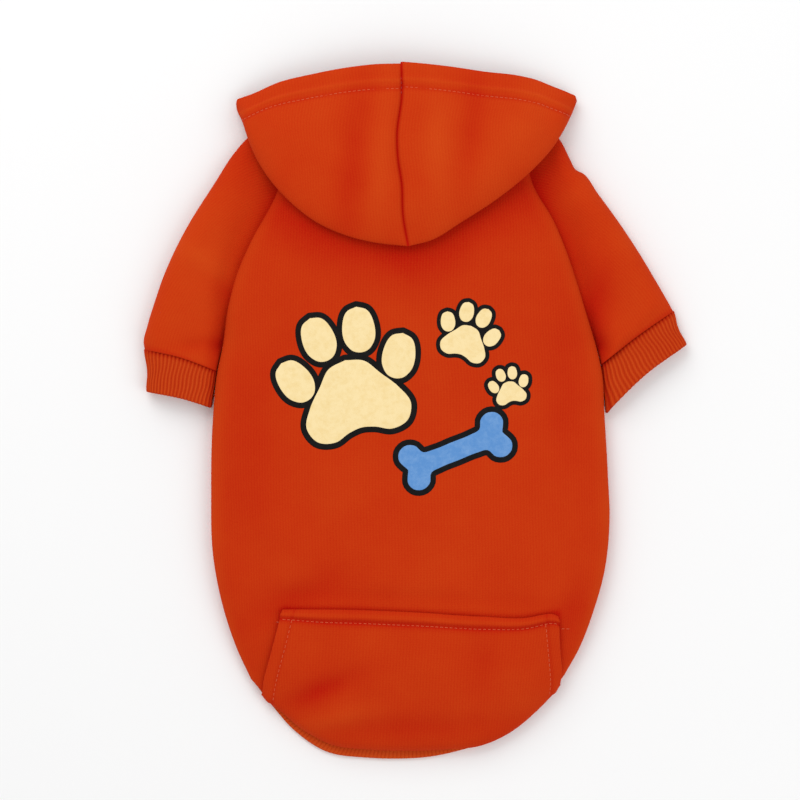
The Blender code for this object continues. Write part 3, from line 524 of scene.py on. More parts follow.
@cache
def hem_points():
    """Places along the back panel's hem: the outline less what the pocket cloth stands proud of it."""
    even = np.linspace(0, 1, 60)
    line = smooth_line(place(HEM_LINE), even)
    covered = eased(np.minimum(even, 1 - even) / 0.14)[:, None]
    return line - outward(line, 1) * covered * (POCKET_CLOTH + POCKET_GAP)


def hem_line(share):
    """The back panel's hem, read along its length."""
    return smooth_line(hem_points(), share)


def body_plan(s, w):
    """Plan points of the back panel: s across it, w from the hem to the neck."""
    return fill(
        hem_line,
        lambda share: smooth_line(place(NECK_BACK), share),
        lambda share: smooth_line(place(SIDE_LEFT), share),
        lambda share: smooth_line(place(SIDE_RIGHT), share),
        s, w,
    )


def body_top(s, w):
    """The back panel: a low arch, 1 less the cube of the way out from the middle under a root,
    that rolls down at the hem, with its folds and slack."""
    plan = body_plan(s, w)
    side, _, _ = side_heights(w)
    across = 1 - np.abs(2 * s - 1) ** 3.0
    hem_roll = 1 - np.clip(1 - w / 0.30, 0, 1) ** 3.2
    rounding = np.sqrt(np.clip(across * hem_roll, 0, 1))
    height = side + (read(CROWN, w) * BODY_LOFT - side) * rounding
    soft = np.clip(rounding * 1.5 - 0.3, 0, 1)
    height = height + (fold_heights(BODY_FOLDS, plan) + ripple(plan, 44 * MM, 0.3 * MM, 3)) * soft
    return np.concatenate([plan, height[..., None]], -1)


def body_skin(s, w):
    """The back panel with w below 0 going on round the hem's quarter turn."""
    top = body_top(s, np.maximum(w, 0))
    side, edge, tuck = side_heights(np.zeros(s.shape))
    even = np.linspace(0, 1, 200)
    inward = -outward(hem_line(even), 1)
    turn = np.pi / 2 * np.clip(-w, 0, 1)
    top[..., 0] += np.interp(s, even, inward[:, 0]) * tuck * (1 - np.cos(turn))
    top[..., 1] += np.interp(s, even, inward[:, 1]) * tuck * (1 - np.cos(turn))
    top[..., 2] -= (side - edge) * np.sin(turn)
    return top


def painted_hood_shadow(plan):
    """Painted shadow of the hood on plan points: 1 below its fold, fading as a bell over a finger's
    width past it."""
    fold = [smooth_line(place(half["fold"]), np.linspace(0, 1, 40)) for half in (HOOD_LEFT, HOOD_RIGHT)]
    fold = np.vstack([fold[0][::-1], fold[1][1:]])
    away = np.linalg.norm(plan[..., None, :] - fold, axis=-1)
    nearest = fold[np.argmin(away, axis=-1)]
    below = (nearest[..., 1] - plan[..., 1]) > 0
    return np.where(below, bell(away.min(-1), 20 * MM), 1.0)


def painted_pocket_shadow(plan):
    """Painted shadow along the pocket's edges on plan points: 1 at them, fading as a bell over 2 mm."""
    feet = body_plan(np.array(POCKET_FOOT), np.zeros(2))
    line = np.vstack([feet[:1], smooth_line(place(POCKET_TOP), np.linspace(0, 1, 40)), feet[1:]])
    return bell(away_from(plan, line), 2 * MM)


def back_panel(columns=131, rows=221, lip_rows=6):
    """The back's grid, then rows that follow a quarter of an ellipse under its sides and hem."""
    s, w = np.meshgrid(spaced(columns), spaced(rows, 0.55))
    top = body_top(s, w)
    pattern = cloth_lengths(top, columns // 2)
    points = top.reshape(-1, 3)
    faces = [grid_faces(rows, columns)]
    number = np.arange(rows * columns).reshape(rows, columns)
    rim = np.concatenate([number[::-1, 0], number[0, 1:], number[1:, -1]])
    shares = np.concatenate([w[::-1, 0], np.zeros(columns - 1), w[1:, -1]])
    _, edge, tuck = side_heights(shares)
    line, side = points[rim, :2], points[rim, 2]
    away = outward(line, 1)
    last, made, flat = rim, [points], [pattern]
    for k in range(1, lip_rows + 1):
        turn = np.pi / 2 * k / lip_rows
        plan = line - away * (tuck * (1 - np.cos(turn)))[:, None]
        made.append(np.column_stack([plan, side - (side - edge) * np.sin(turn)]))
        flat.append(pattern[rim] + away * (side - edge)[:, None] * k / lip_rows)
        row = len(points) + (k - 1) * len(rim) + np.arange(len(rim))
        faces.append(np.stack([last[:-1], row[:-1], row[1:], last[1:]], -1))
        last = row
    # Painted light: shade deep in the folds, painted shadow under the hood and beside the pocket,
    # a painted highlight along the rolled sides, and the rows under the sides a little darker
    plan = top[..., :2]
    painted_light = fold_heights(BODY_FOLDS, plan) / (3.2 * MM) - 0.8 * painted_hood_shadow(plan)
    painted_light = painted_light + 0.35 * eased(1 - np.minimum(s, 1 - s) / 0.05) - 0.9 * painted_pocket_shadow(plan)
    painted_light = np.concatenate([painted_light.ravel()] + [np.full(len(rim), -0.1)] * lip_rows)
    return np.vstack(made), np.vstack(faces), np.vstack(flat), painted_light


def on_body(plan):
    """The shares s and w at which the back panel passes plan points, by Newton's steps."""
    step = 1e-4
    s, w = np.full(len(plan), 0.5), np.full(len(plan), 0.3)
    for _ in range(7):
        miss = body_plan(s, w) - plan
        by_s = (body_plan(s + step, w) - body_plan(s - step, w)) / (2 * step)
        by_w = (body_plan(s, w + step) - body_plan(s, w - step)) / (2 * step)
        area = by_s[:, 0] * by_w[:, 1] - by_s[:, 1] * by_w[:, 0]
        s = s - (miss[:, 0] * by_w[:, 1] - miss[:, 1] * by_w[:, 0]) / area
        w = w - (by_s[:, 0] * miss[:, 1] - by_s[:, 1] * miss[:, 0]) / area
        s, w = np.clip(s, step, 1 - step), np.clip(w, step, 1 - step)
    return s, w


def lift_from(skin, s, w, lift):
    """Points of skin(s, w) moved by lift along its normal, the cross product of its two slopes."""
    step = 1e-3
    by_s = skin(np.clip(s + step, 0, 1), w) - skin(np.clip(s - step, 0, 1), w)
    by_w = skin(s, w + step) - skin(s, w - step)
    normal = np.cross(by_s, by_w)
    normal /= np.maximum(np.linalg.norm(normal, axis=-1, keepdims=True), 1e-12)
    return skin(s, w) + normal * np.asarray(lift)[..., None], normal


def pocket_point(share, down):
    """The patch pocket over the back: share across it, down from its top edge to the hem at 1 and
    on round it. It puffs as a sine each way. Its welt and turned sides stand up as eased steps,
    and its stitch rows are pressed in as bells. Points, normals, what the wall is thicker than
    POCKET_CLOTH, and painted light."""
    flat = np.clip(down, 0, 1)
    even = np.linspace(0, 1, 60)
    top_s, top_w = on_body(smooth_line(place(POCKET_TOP), even))
    top_s, top_w = np.interp(share, even, top_s), np.interp(share, even, top_w)
    foot_s = POCKET_FOOT[0] + (POCKET_FOOT[1] - POCKET_FOOT[0]) * share
    s = top_s + (foot_s - top_s) * flat + 0.013 * (1 - 2 * share) * np.sin(np.pi * flat)
    right_corner = 1.8 * MM / BACK_LENGTH * np.clip((share - 0.965) / 0.035, 0, 1) ** 2
    w = top_w * (1 - flat) - POCKET_TURN * np.clip(down - 1, 0, 1) - right_corner * (1 - flat)

    across, lengthwise = np.clip(np.sin(np.pi * share), 0, 1), np.clip(np.sin(np.pi * flat), 0, 1)
    puff = POCKET_PUFF * across**0.7 * lengthwise**0.8
    welt = POCKET_HEM_RISE * eased((POCKET_WELT_TO - down) / 0.03)
    welt = welt * (1 - 0.5 * eased(1 - down / 0.03))
    to_side = np.minimum(share, 1 - share)
    margin = 0.5 * MM * eased((POCKET_MARGIN - to_side) / 0.012) * (welt < 0.3 * POCKET_HEM_RISE)
    top_row = bell(down - POCKET_WELT_TO - ROW_PAST_WELT, 0.012)
    side_rows = bell(to_side - POCKET_MARGIN - ROW_PAST_MARGIN, 0.006)
    rows = np.maximum(top_row, 0.7 * side_rows * eased((1.1 - down) / 0.1))
    folds = fold_heights(POCKET_FOLDS, body_plan(s, np.maximum(w, 0)))
    # The sides' lower ends are thinner, where they run out into the hem
    thin = 0.5 * POCKET_CLOTH * eased(1 - to_side / 0.03) * eased((down - 0.75) / 0.25)
    lift = POCKET_GAP + POCKET_CLOTH + puff + welt + margin - 0.45 * MM * rows
    lift = lift + folds * eased(to_side * 8) - thin
    points, normals = lift_from(body_skin, s, w, lift)

    # Painted light: a painted highlight along the welt, painted shade at its edges, along the rows
    # and towards the hem, and painted highlight and shade on the folds
    painted_light = 0.42 * bell(down - 0.036, 0.020) - 0.30 * (down < 0.075) - 0.45 * rows
    painted_light = painted_light - 0.5 * bell(down - POCKET_WELT_TO - 0.01, 0.03)
    painted_light = painted_light + folds / (2.0 * MM) - 0.45 * eased(down - 0.75)
    return points, normals, welt - thin, painted_light


def pocket_surface(columns=201, welt_rows=32, rows=44, turn_rows=9):
    """The pocket's grid and its wall at each point."""
    welt, flat = np.linspace(0, 0.2, welt_rows), np.linspace(0.2, 1, rows)[1:]
    down = np.concatenate([welt, flat, np.linspace(1, 2, turn_rows)[1:]])
    share, down = np.meshgrid(spaced(columns, 0.7), down)
    grid, _, thicker, painted_light = pocket_point(share, down)
    faces = grid_faces(*share.shape)[:, ::-1]
    pattern = cloth_lengths(grid, columns // 2)
    return (grid.reshape(-1, 3), faces, pattern, painted_light.ravel()), (POCKET_CLOTH + thicker).ravel()


def belly_surface(columns=81, rows=81):
    """The belly panel's underside, level on the surface, between its hem, sides and throat line."""
    def side(table, way):
        shares = np.linspace(share_at(table, BELLY_HEM_ALONG), 1.0, 60)
        line = smooth_line(place(table), shares)
        below_arm = np.clip((armpit_share() + 0.05 - shares) / 0.05, 0, 1)
        inset = 1.5 * SEAM_GAP + (BELLY_INSET - 1.5 * SEAM_GAP) * below_arm
        return line - outward(line, way) * inset[:, None]

    left, right = side(SIDE_LEFT, -1), side(SIDE_RIGHT, 1)
    throat = smooth_line(place(NECK_THROAT), np.linspace(0, 1, 60))
    throat = np.vstack([left[-1:], throat[3:-3], right[-1:]])

    def hem(share):
        line = left[0] * (1 - share[..., None]) + right[0] * share[..., None]
        return line + np.stack([0 * share, BELLY_HEM_BOW * np.sin(np.pi * share)], -1)

    s, w = np.meshgrid(np.linspace(0, 1, columns), np.linspace(0, 1, rows))
    plan = fill(
        hem, lambda share: smooth_line(throat, share),
        lambda share: smooth_line(left, share), lambda share: smooth_line(right, share), s, w,
    )
    slack = 0.12 * MM * (1 + ripple(plan, 46 * MM, 1.0, 8))
    grid = np.concatenate([plan, np.clip(slack, 0, 0.25 * MM)[..., None]], -1)
    faces, painted_light = grid_faces(rows, columns)[:, ::-1], np.zeros(rows * columns)
    return grid.reshape(-1, 3), faces, cloth_lengths(grid, columns // 2), painted_light


# Hem band


def rim_path(share, grow):
    """The body's lower rim from the belly hem on the left, round the hem, to the right."""
    left = smooth_line(place(SIDE_LEFT), np.linspace(share_at(SIDE_LEFT, BELLY_HEM_ALONG), 0, 20))
    right = smooth_line(place(SIDE_RIGHT), np.linspace(0, share_at(SIDE_RIGHT, BELLY_HEM_ALONG), 20))
    line = np.vstack([left[:-1], hem_line(np.linspace(0, 1, 50)), right[1:]])
    return smooth_line(line + outward(line, 1) * grow, share)


def hem_band_surface(around=1680, straight=420):
    """The ribbed band, a flat ring: rows go round its section, and its ribs stand out as the
    cosine of its length over the rib pitch."""
    share = np.linspace(0, 1, around)
    rim_length = 2.0 * BACK_LENGTH * BELLY_HEM_ALONG + CHEST_WIDTH
    rim = rim_path(share, 0)
    shows = np.exp(-(((share - BAND_SHOWS_AT) / BAND_SHOWS_FOR) ** 4))
    proud = HEM_BAND_SHOW + POCKET_CLOTH + POCKET_GAP
    outer = rim + outward(rim, 1) * (shows * (proud + HEM_BAND_HIDE) - HEM_BAND_HIDE)[:, None]
    start = 1.7 * HEM_BAND_WIDTH / rim_length
    inner = rim_path(start + (1 - 2 * start) * share, -HEM_BAND_WIDTH)
    across = np.linspace(1, 0, straight)[1:-1, None]
    outer[[0, -1], 1] -= SEAM_GAP
    belly_outer = outer[0] * (1 - across) + outer[-1] * across
    belly_inner = inner[0] * (1 - across) + inner[-1] * across
    bow = BELLY_HEM_BOW * np.sin(np.pi * across[:, 0])
    belly_outer[:, 1] += bow - SEAM_GAP * np.sin(np.pi * across[:, 0])
    belly_inner[:, 1] += bow
    outer = np.vstack([outer, belly_outer, outer[:1]])
    inner = np.vstack([inner, belly_inner, inner[:1]])
    length = np.cumsum(np.linalg.norm(np.diff(outer, axis=0, prepend=outer[:1]), axis=1))
    ribs = np.round(length[-1] / RIB_PITCH)
    rib = 0.5 + 0.5 * np.cos(2 * np.pi * ribs * length / length[-1])
    turn = np.linspace(0, 2 * np.pi, 21)[:, None]
    reach = ((1 - np.cos(turn)) / 2) ** 1.6
    edge = 1 - (1 - np.abs(np.sin(turn))) ** 3
    thick = RIB_KNIT - RIB_DEPTH * (1 - rib) * 0.7
    height = RIB_KNIT / 2 + np.sign(np.sin(turn)) * edge * thick / 2
    plan = outer[None] * (1 - reach)[..., None] + inner[None] * reach[..., None]
    grid = np.concatenate([plan, np.maximum(height, 0)[..., None]], -1)
    upper_or_under = reach * HEM_BAND_WIDTH * np.sign(np.pi - turn)
    pattern = np.stack(np.broadcast_arrays(length[None], upper_or_under), -1).reshape(-1, 2)
    quads = grid_faces(*grid.shape[:2])
    # Where it is thin its points are laid on a fine grid, so that those which meet are one
    points = np.round(grid.reshape(-1, 3) / BAND_GRAIN) * BAND_GRAIN
    first, index = welded(points, BAND_GRAIN)
    # Painted light: the ribs' crests painted paler than their grooves, as highlight and shade
    painted_light = np.broadcast_to(rib, grid.shape[:2]).reshape(-1)[first] * 0.5 + 0.35
    return points[first], index[quads], pattern[quads], painted_light


# Sleeves and cuffs


def sleeve_lines(sleeve):
    """The four plan lines of a sleeve: armhole seam, cuff line, upper outline, underarm."""
    side_table, way = sleeve["side"], sleeve["way"]
    armpit = share_at(side_table, ARMPIT_ALONG)
    line_end = place(sleeve["cuff_start"])[-1]
    cuff_share = share_at(side_table, sleeve["cuff_start"][-1][1])

    def beside(share):
        line = smooth_line(place(side_table), np.linspace(0, 1, 90))
        return smooth_line(line + outward(line, way) * SEAM_GAP * 0.6, share)

    def seam(share):
        return beside(1 - np.asarray(share) * (1 - armpit))

    def underarm(share):
        return beside(armpit + (cuff_share - armpit) * np.asarray(share))

    def outline(share):
        line = smooth_line(place(sleeve["outline"]), share)
        return line + (1 - np.asarray(share)[..., None]) * (seam(0.0) - place(sleeve["outline"])[0])

    def cuff_line(share):
        line = smooth_line(place(sleeve["cuff_start"]), share)
        return line + np.asarray(share)[..., None] * (underarm(1.0) - line_end)

    return seam, cuff_line, outline, underarm


def ring_heights(s, top):
    """Upper and lower heights of a flattened ring, rounded from its folded sides up to top and down
    to the surface: s runs from one side to the other."""
    upper = SLEEVE_SIDE + (top - SLEEVE_SIDE) * rounded(s, CUFF_FULLNESS)
    return upper, SLEEVE_SIDE * (1 - rounded(s, 5))


def sleeve_surface(sleeve, half=72, rings=96):
    """A flattened tube from the armhole seam to the cuff line, top cloth first then the under one.
    The top rises off its folded sides as a root, and comes down to the seam and to the cuff as
    powers of the way left."""
    armpit = share_at(sleeve["side"], ARMPIT_ALONG)
    s_row = np.concatenate([spaced(half + 1), spaced(half + 1)[::-1][1:]])
    is_top = np.arange(2 * half + 1) <= half
    s, w = np.meshgrid(s_row, spaced(rings, 0.6))
    lines = sleeve_lines(sleeve)
    plan = fill(*lines, s[:, : half + 1], w[:, : half + 1])
    plan = unfolded(plan, s_row[: half + 1], w[:, 0])
    plan = np.concatenate([plan, plan[:, -2::-1]], axis=1)
    tuck = SLEEVE_TUCK * rounded(s, 4) * is_top * np.clip(1 - w / 0.03, 0, 1)
    inwards = plan[:1] - plan[12:13]
    plan = plan + tuck[..., None] * inwards / np.linalg.norm(inwards, axis=-1, keepdims=True)

    seam, _, outline, underarm = (line(np.linspace(0, 1, 60)) for line in lines)
    from_seam, from_underarm = away_from(plan, seam), away_from(plan, underarm)
    from_side = np.minimum(away_from(plan, outline), from_underarm)
    near_seam = np.clip(1 - from_seam / (20 * MM), 0, 1) ** 2.4
    near_cuff = np.clip((w - 0.90) / 0.10, 0, 1) ** 2
    sunk = SLEEVE_SINK * np.clip(1 - from_seam / (14 * MM), 0, 1) ** 2
    at_seam = side_heights(1 - s * (1 - armpit))[0] + SEAM_GAP
    at_cuff = CUFF_LOFT * sleeve["cuff_rise"] + CUFF_STEP
    top = read(SLEEVE_RISE, w) * SLEEVE_LOFT * (1 - near_seam) * (1 - near_cuff)
    top = top + at_seam * near_seam + at_cuff * near_cuff - sunk
    rounding = np.sqrt(1 - (1 - np.clip(from_side / SLEEVE_ROLL, 0, 1)) ** 3)
    rounding = np.minimum(rounding, rounded(s, 8)) * (1 - near_cuff)
    rounding = rounding + near_cuff * rounded(s, CUFF_FULLNESS)
    off_sides = eased(from_side / (12 * MM))
    off_ends = eased(from_seam / (12 * MM)) * eased((1 - w) / 0.10)
    folds = fold_heights(SLEEVE_FOLDS, plan)
    slack = ripple(plan, 34 * MM, 0.35 * MM, 11)
    upper = SLEEVE_SIDE + (top - SLEEVE_SIDE) * rounding + (folds + slack) * off_sides * off_ends
    _, lower = ring_heights(s, top)
    grid = np.concatenate([plan, np.where(is_top, upper, lower)[..., None]], -1)
    faces = facing_out(grid_faces(*s.shape), sleeve["way"])

    # Painted light: a little paler overall, painted shade along the seam, painted shadow of the hood,
    # painted shade and highlight in the folds, and painted shade at the cuff and along the underarm
    painted_light = 0.2 + folds / (2.0 * MM) - 0.6 * sunk / SLEEVE_SINK - 0.6 * painted_hood_shadow(plan)
    painted_light = painted_light - 0.5 * eased((w - 0.97) / 0.03) - 0.6 * bell(from_underarm, 6 * MM)
    return grid.reshape(-1, 3), faces, cloth_lengths(grid, half // 2), (painted_light * is_top).ravel()


def even_ring(top, plan_length, count):
    """Turns round a flattened ring, evenly spaced by length, and its whole length."""
    turn = np.linspace(0, 2 * np.pi, 1201)
    s = (1 - np.cos(turn)) / 2
    upper, lower = ring_heights(s, top)
    z = np.where(np.sin(turn) >= 0, upper, lower)
    length = np.concatenate([[0], np.cumsum(np.hypot(np.diff(s) * plan_length, np.diff(z)))])
    return np.interp(np.linspace(0, length[-1], count), length, turn), length[-1]


def cuff_surface(sleeve, rings=22, rib_points=10):
    """A ribbed tube: its ribs stand out as the cosine of the length round it over the rib pitch,
    and lean outwards and waver a little on their way down."""
    _, cuff_line, _, _ = sleeve_lines(sleeve)
    start, end_points = place(sleeve["cuff_start"]), place(sleeve["cuff_end"])
    top = CUFF_LOFT * sleeve["cuff_rise"]
    plan_length = np.linalg.norm(start[0] - start[-1])
    _, perimeter = even_ring(top, plan_length, 16)
    ribs = int(round(perimeter / RIB_PITCH))
    turn, _ = even_ring(top, plan_length, ribs * rib_points + 1)
    w, turn = np.meshgrid(np.linspace(0, 1, rings), turn, indexing="ij")
    s = (1 - np.cos(turn)) / 2
    drop = (end_points[0] - start[0]) / np.linalg.norm(end_points[0] - start[0])
    out = (start[0] - start[1]) / np.linalg.norm(start[0] - start[1])
    near = cuff_line(s) + drop * SEAM_GAP * 1.3
    plan = near * (1 - w[..., None]) + smooth_line(end_points, s) * w[..., None]
    waist = 0.55 * MM * np.cos(2 * np.pi * w) * (1 - s) ** 6
    plan = plan + waist[..., None] * out
    upper, lower = ring_heights(s, top)
    grid = np.concatenate([plan, np.where(np.sin(turn) >= 0, upper, lower)[..., None]], -1)
    faces = facing_out(grid_faces(*s.shape), sleeve["way"])

    rib_number = np.linspace(0, ribs, ribs * rib_points + 1)[None]
    waver = 0.16 * np.sin(2.3 * w * np.pi + 3 * turn) * np.sin(np.pi * w)
    lean = sleeve["rib_lean"] * w * np.sin(turn)
    groove = 0.5 - 0.5 * np.cos(2 * np.pi * (rib_number + (waver + lean)))
    normals = point_normals(grid.reshape(-1, 3), faces).reshape(grid.shape)
    normals[:, [0, -1]] = (normals[:, :1] + normals[:, -1:]) / 2
    normals = (normals / np.linalg.norm(normals, axis=-1, keepdims=True)).reshape(-1, 3)
    sunk = (RIB_DEPTH * groove).ravel()
    points = grid.reshape(-1, 3) - normals * sunk[:, None]
    points[:, 2] = np.maximum(points[:, 2], 0)
    pattern = np.stack(np.broadcast_arrays(rib_number * RIB_PITCH, w * CUFF_LENGTH), -1)
    # Painted shade in the grooves, at the seam and where the inner end turns under
    painted_light = 0.5 - 0.9 * groove - 0.7 * bell(w, 0.07) - 0.7 * eased((s - 0.86) / 0.14)
    return (points, faces, pattern.reshape(-1, 2), painted_light.ravel()), RIB_KNIT - sunk, normals


# Hood


def height_map(points, cell=2.5 * MM, reach=HOOD_CLEARANCE):
    """A map of squares, each with the greatest height of the cloth within reach of it."""
    low = points[:, :2].min(0) - 4 * reach
    at = ((points[:, :2] - low) / cell).astype(int)
    heights = np.zeros(at.max(0) + int(4 * reach / cell))
    np.maximum.at(heights, (at[:, 0], at[:, 1]), points[:, 2])
    steps = int(round(reach / cell))
    span = range(-steps, steps + 1)
    near = [
        np.roll(heights, (x, y), (0, 1)) for x in span for y in span if x * x + y * y <= steps**2
    ]
    return low, cell, np.max(near, axis=0)


def height_at(cloth_map, plan):
    """The map's height at plan points: the blend of the four squares round each."""
    low, cell, heights = cloth_map
    at = (plan - low) / cell - 0.5
    corner = np.floor(at).astype(int)
    x, y = np.moveaxis(at - corner, -1, 0)
    i, j = np.moveaxis(np.clip(corner, 0, np.array(heights.shape) - 2), -1, 0)
    left = heights[i, j] * (1 - y) + heights[i, j + 1] * y
    right = heights[i + 1, j] * (1 - y) + heights[i + 1, j + 1] * y
    return left * (1 - x) + right * x


def hood_ring(half, columns):
    """The lines round half the hood's under layer, from the tip to the corner and along the lip."""
    corner = HOOD_CORNER_AT
    back = spaced(columns, 0.35) * corner
    t = np.concatenate([back, corner + (1 - corner) * np.linspace(0, 1, columns // 3)[1:]])
    at_back, at_front = np.clip(t / corner, 0, 1), np.clip((t - corner) / (1 - corner), 0, 1)
    is_back = (t <= corner)[:, None]
    fold = smooth_line(place(half["fold"]), at_back)
    outer = np.where(is_back, fold, smooth_line(place(half["lip"]), at_front))
    even = np.linspace(0, 1, 400)
    neck = smooth_line(place(NECK_BACK), even)
    middle = even[np.argmin(np.abs(neck[:, 0] - outer[0, 0]))]
    end = 0.0 if half["way"] < 0 else 1.0
    throat = smooth_line(place(NECK_THROAT), even)
    throat = throat - outward(throat, 1) * SEAM_GAP * 2
    hole = np.where(
        is_back,
        smooth_line(place(NECK_BACK), middle + (end - middle) * at_back),
        smooth_line(throat, end + (0.5 - end) * at_front),
    )
    outer[-1, 0] = hole[-1, 0]
    wide, tight = FLEECE + HOOD_FOLD_INSIDE, FLEECE + HOOD_CORNER_INSIDE
    roll = np.interp(t, [0, corner * 0.8, corner, corner + 0.12, 1], [wide, wide, tight, 0, 0])
    return outer, hole, roll, at_back[:columns]


def hood_under_layer(cloth_map, outer, hole, roll, rows):
    """Rows from the neck hole out to the fold, laid on the cloth below and made even by taking the
    mean of neighbours where that is higher, then a quarter circle up."""
    inward = hole - outer
    span = np.linalg.norm(inward, axis=1)
    inward = inward / span[:, None]
    reach = np.minimum(np.maximum(roll, 2 * MM), span * 0.45)[:, None]
    shares = np.linspace(0, 1, rows)[:, None, None]
    plan = hole * (1 - shares) + (outer + inward * reach) * shares
    rest = height_at(cloth_map, plan)
    rest = np.where(rest > 0, rest + SEAM_GAP * 1.5, 0.0)
    height = rest.copy()
    for _ in range(24):
        padded = np.pad(height, 1, mode="edge")
        mean = (padded[2:, 1:-1] + padded[:-2, 1:-1] + padded[1:-1, 2:] + padded[1:-1, :-2]) / 4
        height = np.maximum(mean, rest)
    layers = [np.concatenate([plan, height[..., None]], -1)]
    for turn in np.radians((15, 30, 45, 60, 75, 90)):
        row = outer + inward * reach * (1 - np.sin(turn))
        layers.append(np.column_stack([row, height[-1] + roll * (1 - np.cos(turn))])[None])
    return np.vstack(layers)


def hood_top_point(half, rim, roll, s, w):
    """The hood's top layer: s from the centre seam to the corner, w from the fold to the edge. It
    rises from the fold as a root, puffs as w(1 - w), has a bell across its hem and sinks at the
    seam. rim and roll are read along s."""
    corner = place(half["fold"])[-1]
    even = np.linspace(0, 1, len(rim))
    rim, roll = np.interp(s, even, rim), np.interp(s, even, roll)

    def line(key):
        return lambda share: smooth_line(place(half[key]), share)

    def seam(share):
        return smooth_line(place(HOOD_SEAM + half["edge"][:1]), share)

    plan = fill(
        line("fold"), line("edge"), seam,
        lambda share: np.broadcast_to(corner, np.shape(share) + (2,)), s, w,
    )
    fades = np.clip(1 - s**6, 0, 1)
    rounding = np.sqrt(np.clip(1 - (1 - w) ** 10, 0, 1))
    at_corner = eased((s - 0.97) / 0.03)
    edge = read(HOOD_EDGE_RISE, s) * BODY_LOFT * (1 - at_corner) + rim * at_corner
    level = (rim + roll * (1 - at_corner)) * (1 - w) + edge * w
    puff = HOOD_PUFF * 4 * w * (1 - w) * np.clip(1 - s**3, 0, 1)
    height = rim + (level + puff - rim) * rounding
    to_edge = (1 - w) * np.linalg.norm(line("edge")(s) - line("fold")(s), axis=-1)
    from_ridge = to_edge - HOOD_RIDGE_IN
    ridge = 0.85 * bell(from_ridge, 1.5 * MM) * eased(from_ridge / (2 * MM) + 1)
    hem = ridge + 0.45 * bell(to_edge - 2.5 * MM, 3.0 * MM)
    stitch_dip = 0.55 * MM * bell(to_edge - HOOD_HEM_WIDTH, 1.2 * MM)
    height = height + (HOOD_HEM_EXTRA * hem - stitch_dip) * fades
    # The seam lies in a wide groove with a narrow one in it, shallower in the hem
    from_seam = np.abs(plan[..., 0] - seam(w)[..., 0])
    seam_dip = HOOD_SEAM_DIP * bell(from_seam, HOOD_SEAM_WIDTH)
    seam_dip = seam_dip + 1.2 * MM * bell(from_seam, 0.8 * MM)
    height = height - seam_dip * rounding * (1 - 0.7 * eased((w - 0.90) / 0.10))
    folds, slack = fold_heights(HOOD_FOLDS, plan), ripple(plan, 40 * MM, 0.25 * MM, 5)
    height = height + (folds + slack) * fades * rounding * (1 - w**6)
    # Painted light: a painted highlight on the hem's ridge, painted highlight and shade on the folds,
    # painted shade along the stitches and the seam, and the hem a little darker
    painted_light = 0.12 + 0.4 * ridge - 0.1 * (to_edge < HOOD_HEM_WIDTH) - stitch_dip / (1.1 * MM)
    painted_light = painted_light + folds / (1.8 * MM) - 1.5 * bell(from_seam, 0.7 * MM)
    return np.concatenate([plan, height[..., None]], -1), painted_light


FIRST_ROW = 0.002  # how far up from the fold the top layer's first row lies, as a share


def hood_half_surface(cloth_map, half, columns=112, rows=26, top_rows=112):
    """Half the hood: its under layer, then its top layer over it, and the centre seam's points."""
    outer, hole, roll, s = hood_ring(half, columns)
    under = hood_under_layer(cloth_map, outer, hole, roll, rows)
    under_rows, ring = under.shape[:2]
    even = np.linspace(0, 1, 400)
    rim, roll = np.interp(even, s, under[-1, :columns, 2]), np.interp(even, s, roll[:columns])
    s, w = np.meshgrid(s, np.linspace(0.03, 1, top_rows) ** 1.7)
    w = (w - w[0, 0]) / (1 - w[0, 0]) * (1 - FIRST_ROW) + FIRST_ROW
    top, painted_light = hood_top_point(half, rim, roll, s, w)
    top[:, -1] = under[-1, columns - 1]
    base, last = under_rows * ring, (under_rows - 1) * ring
    i = np.arange(columns - 1)
    faces = np.vstack([
        grid_faces(under_rows, ring),
        np.stack([last + i, last + i + 1, base + i + 1, base + i], -1),
        grid_faces(top_rows, columns) + base,
    ])
    faces = facing_out(faces, half["way"])
    row_starts = np.arange(under_rows) * ring
    seam = np.concatenate([
        row_starts, row_starts + ring - 1, base + np.arange(top_rows) * columns,
    ])
    points = np.vstack([under.reshape(-1, 3), top.reshape(-1, 3)])
    points[seam, 0] += 0.5 * SEAM_GAP * half["way"]
    on_seam = np.zeros(len(points), bool)
    on_seam[seam] = True
    under_flat = cloth_lengths(under)
    top_flat = cloth_lengths(top)
    top_flat[:, 1] += np.repeat(under_flat.reshape(under_rows, ring, 2)[-1, :1, 1], len(top_flat))
    painted_light = np.concatenate([np.full(under_rows * ring, -0.2), painted_light.ravel()])
    return (points, faces, np.vstack([under_flat, top_flat]), painted_light), on_seam, (rim, roll)


# Stitches and print


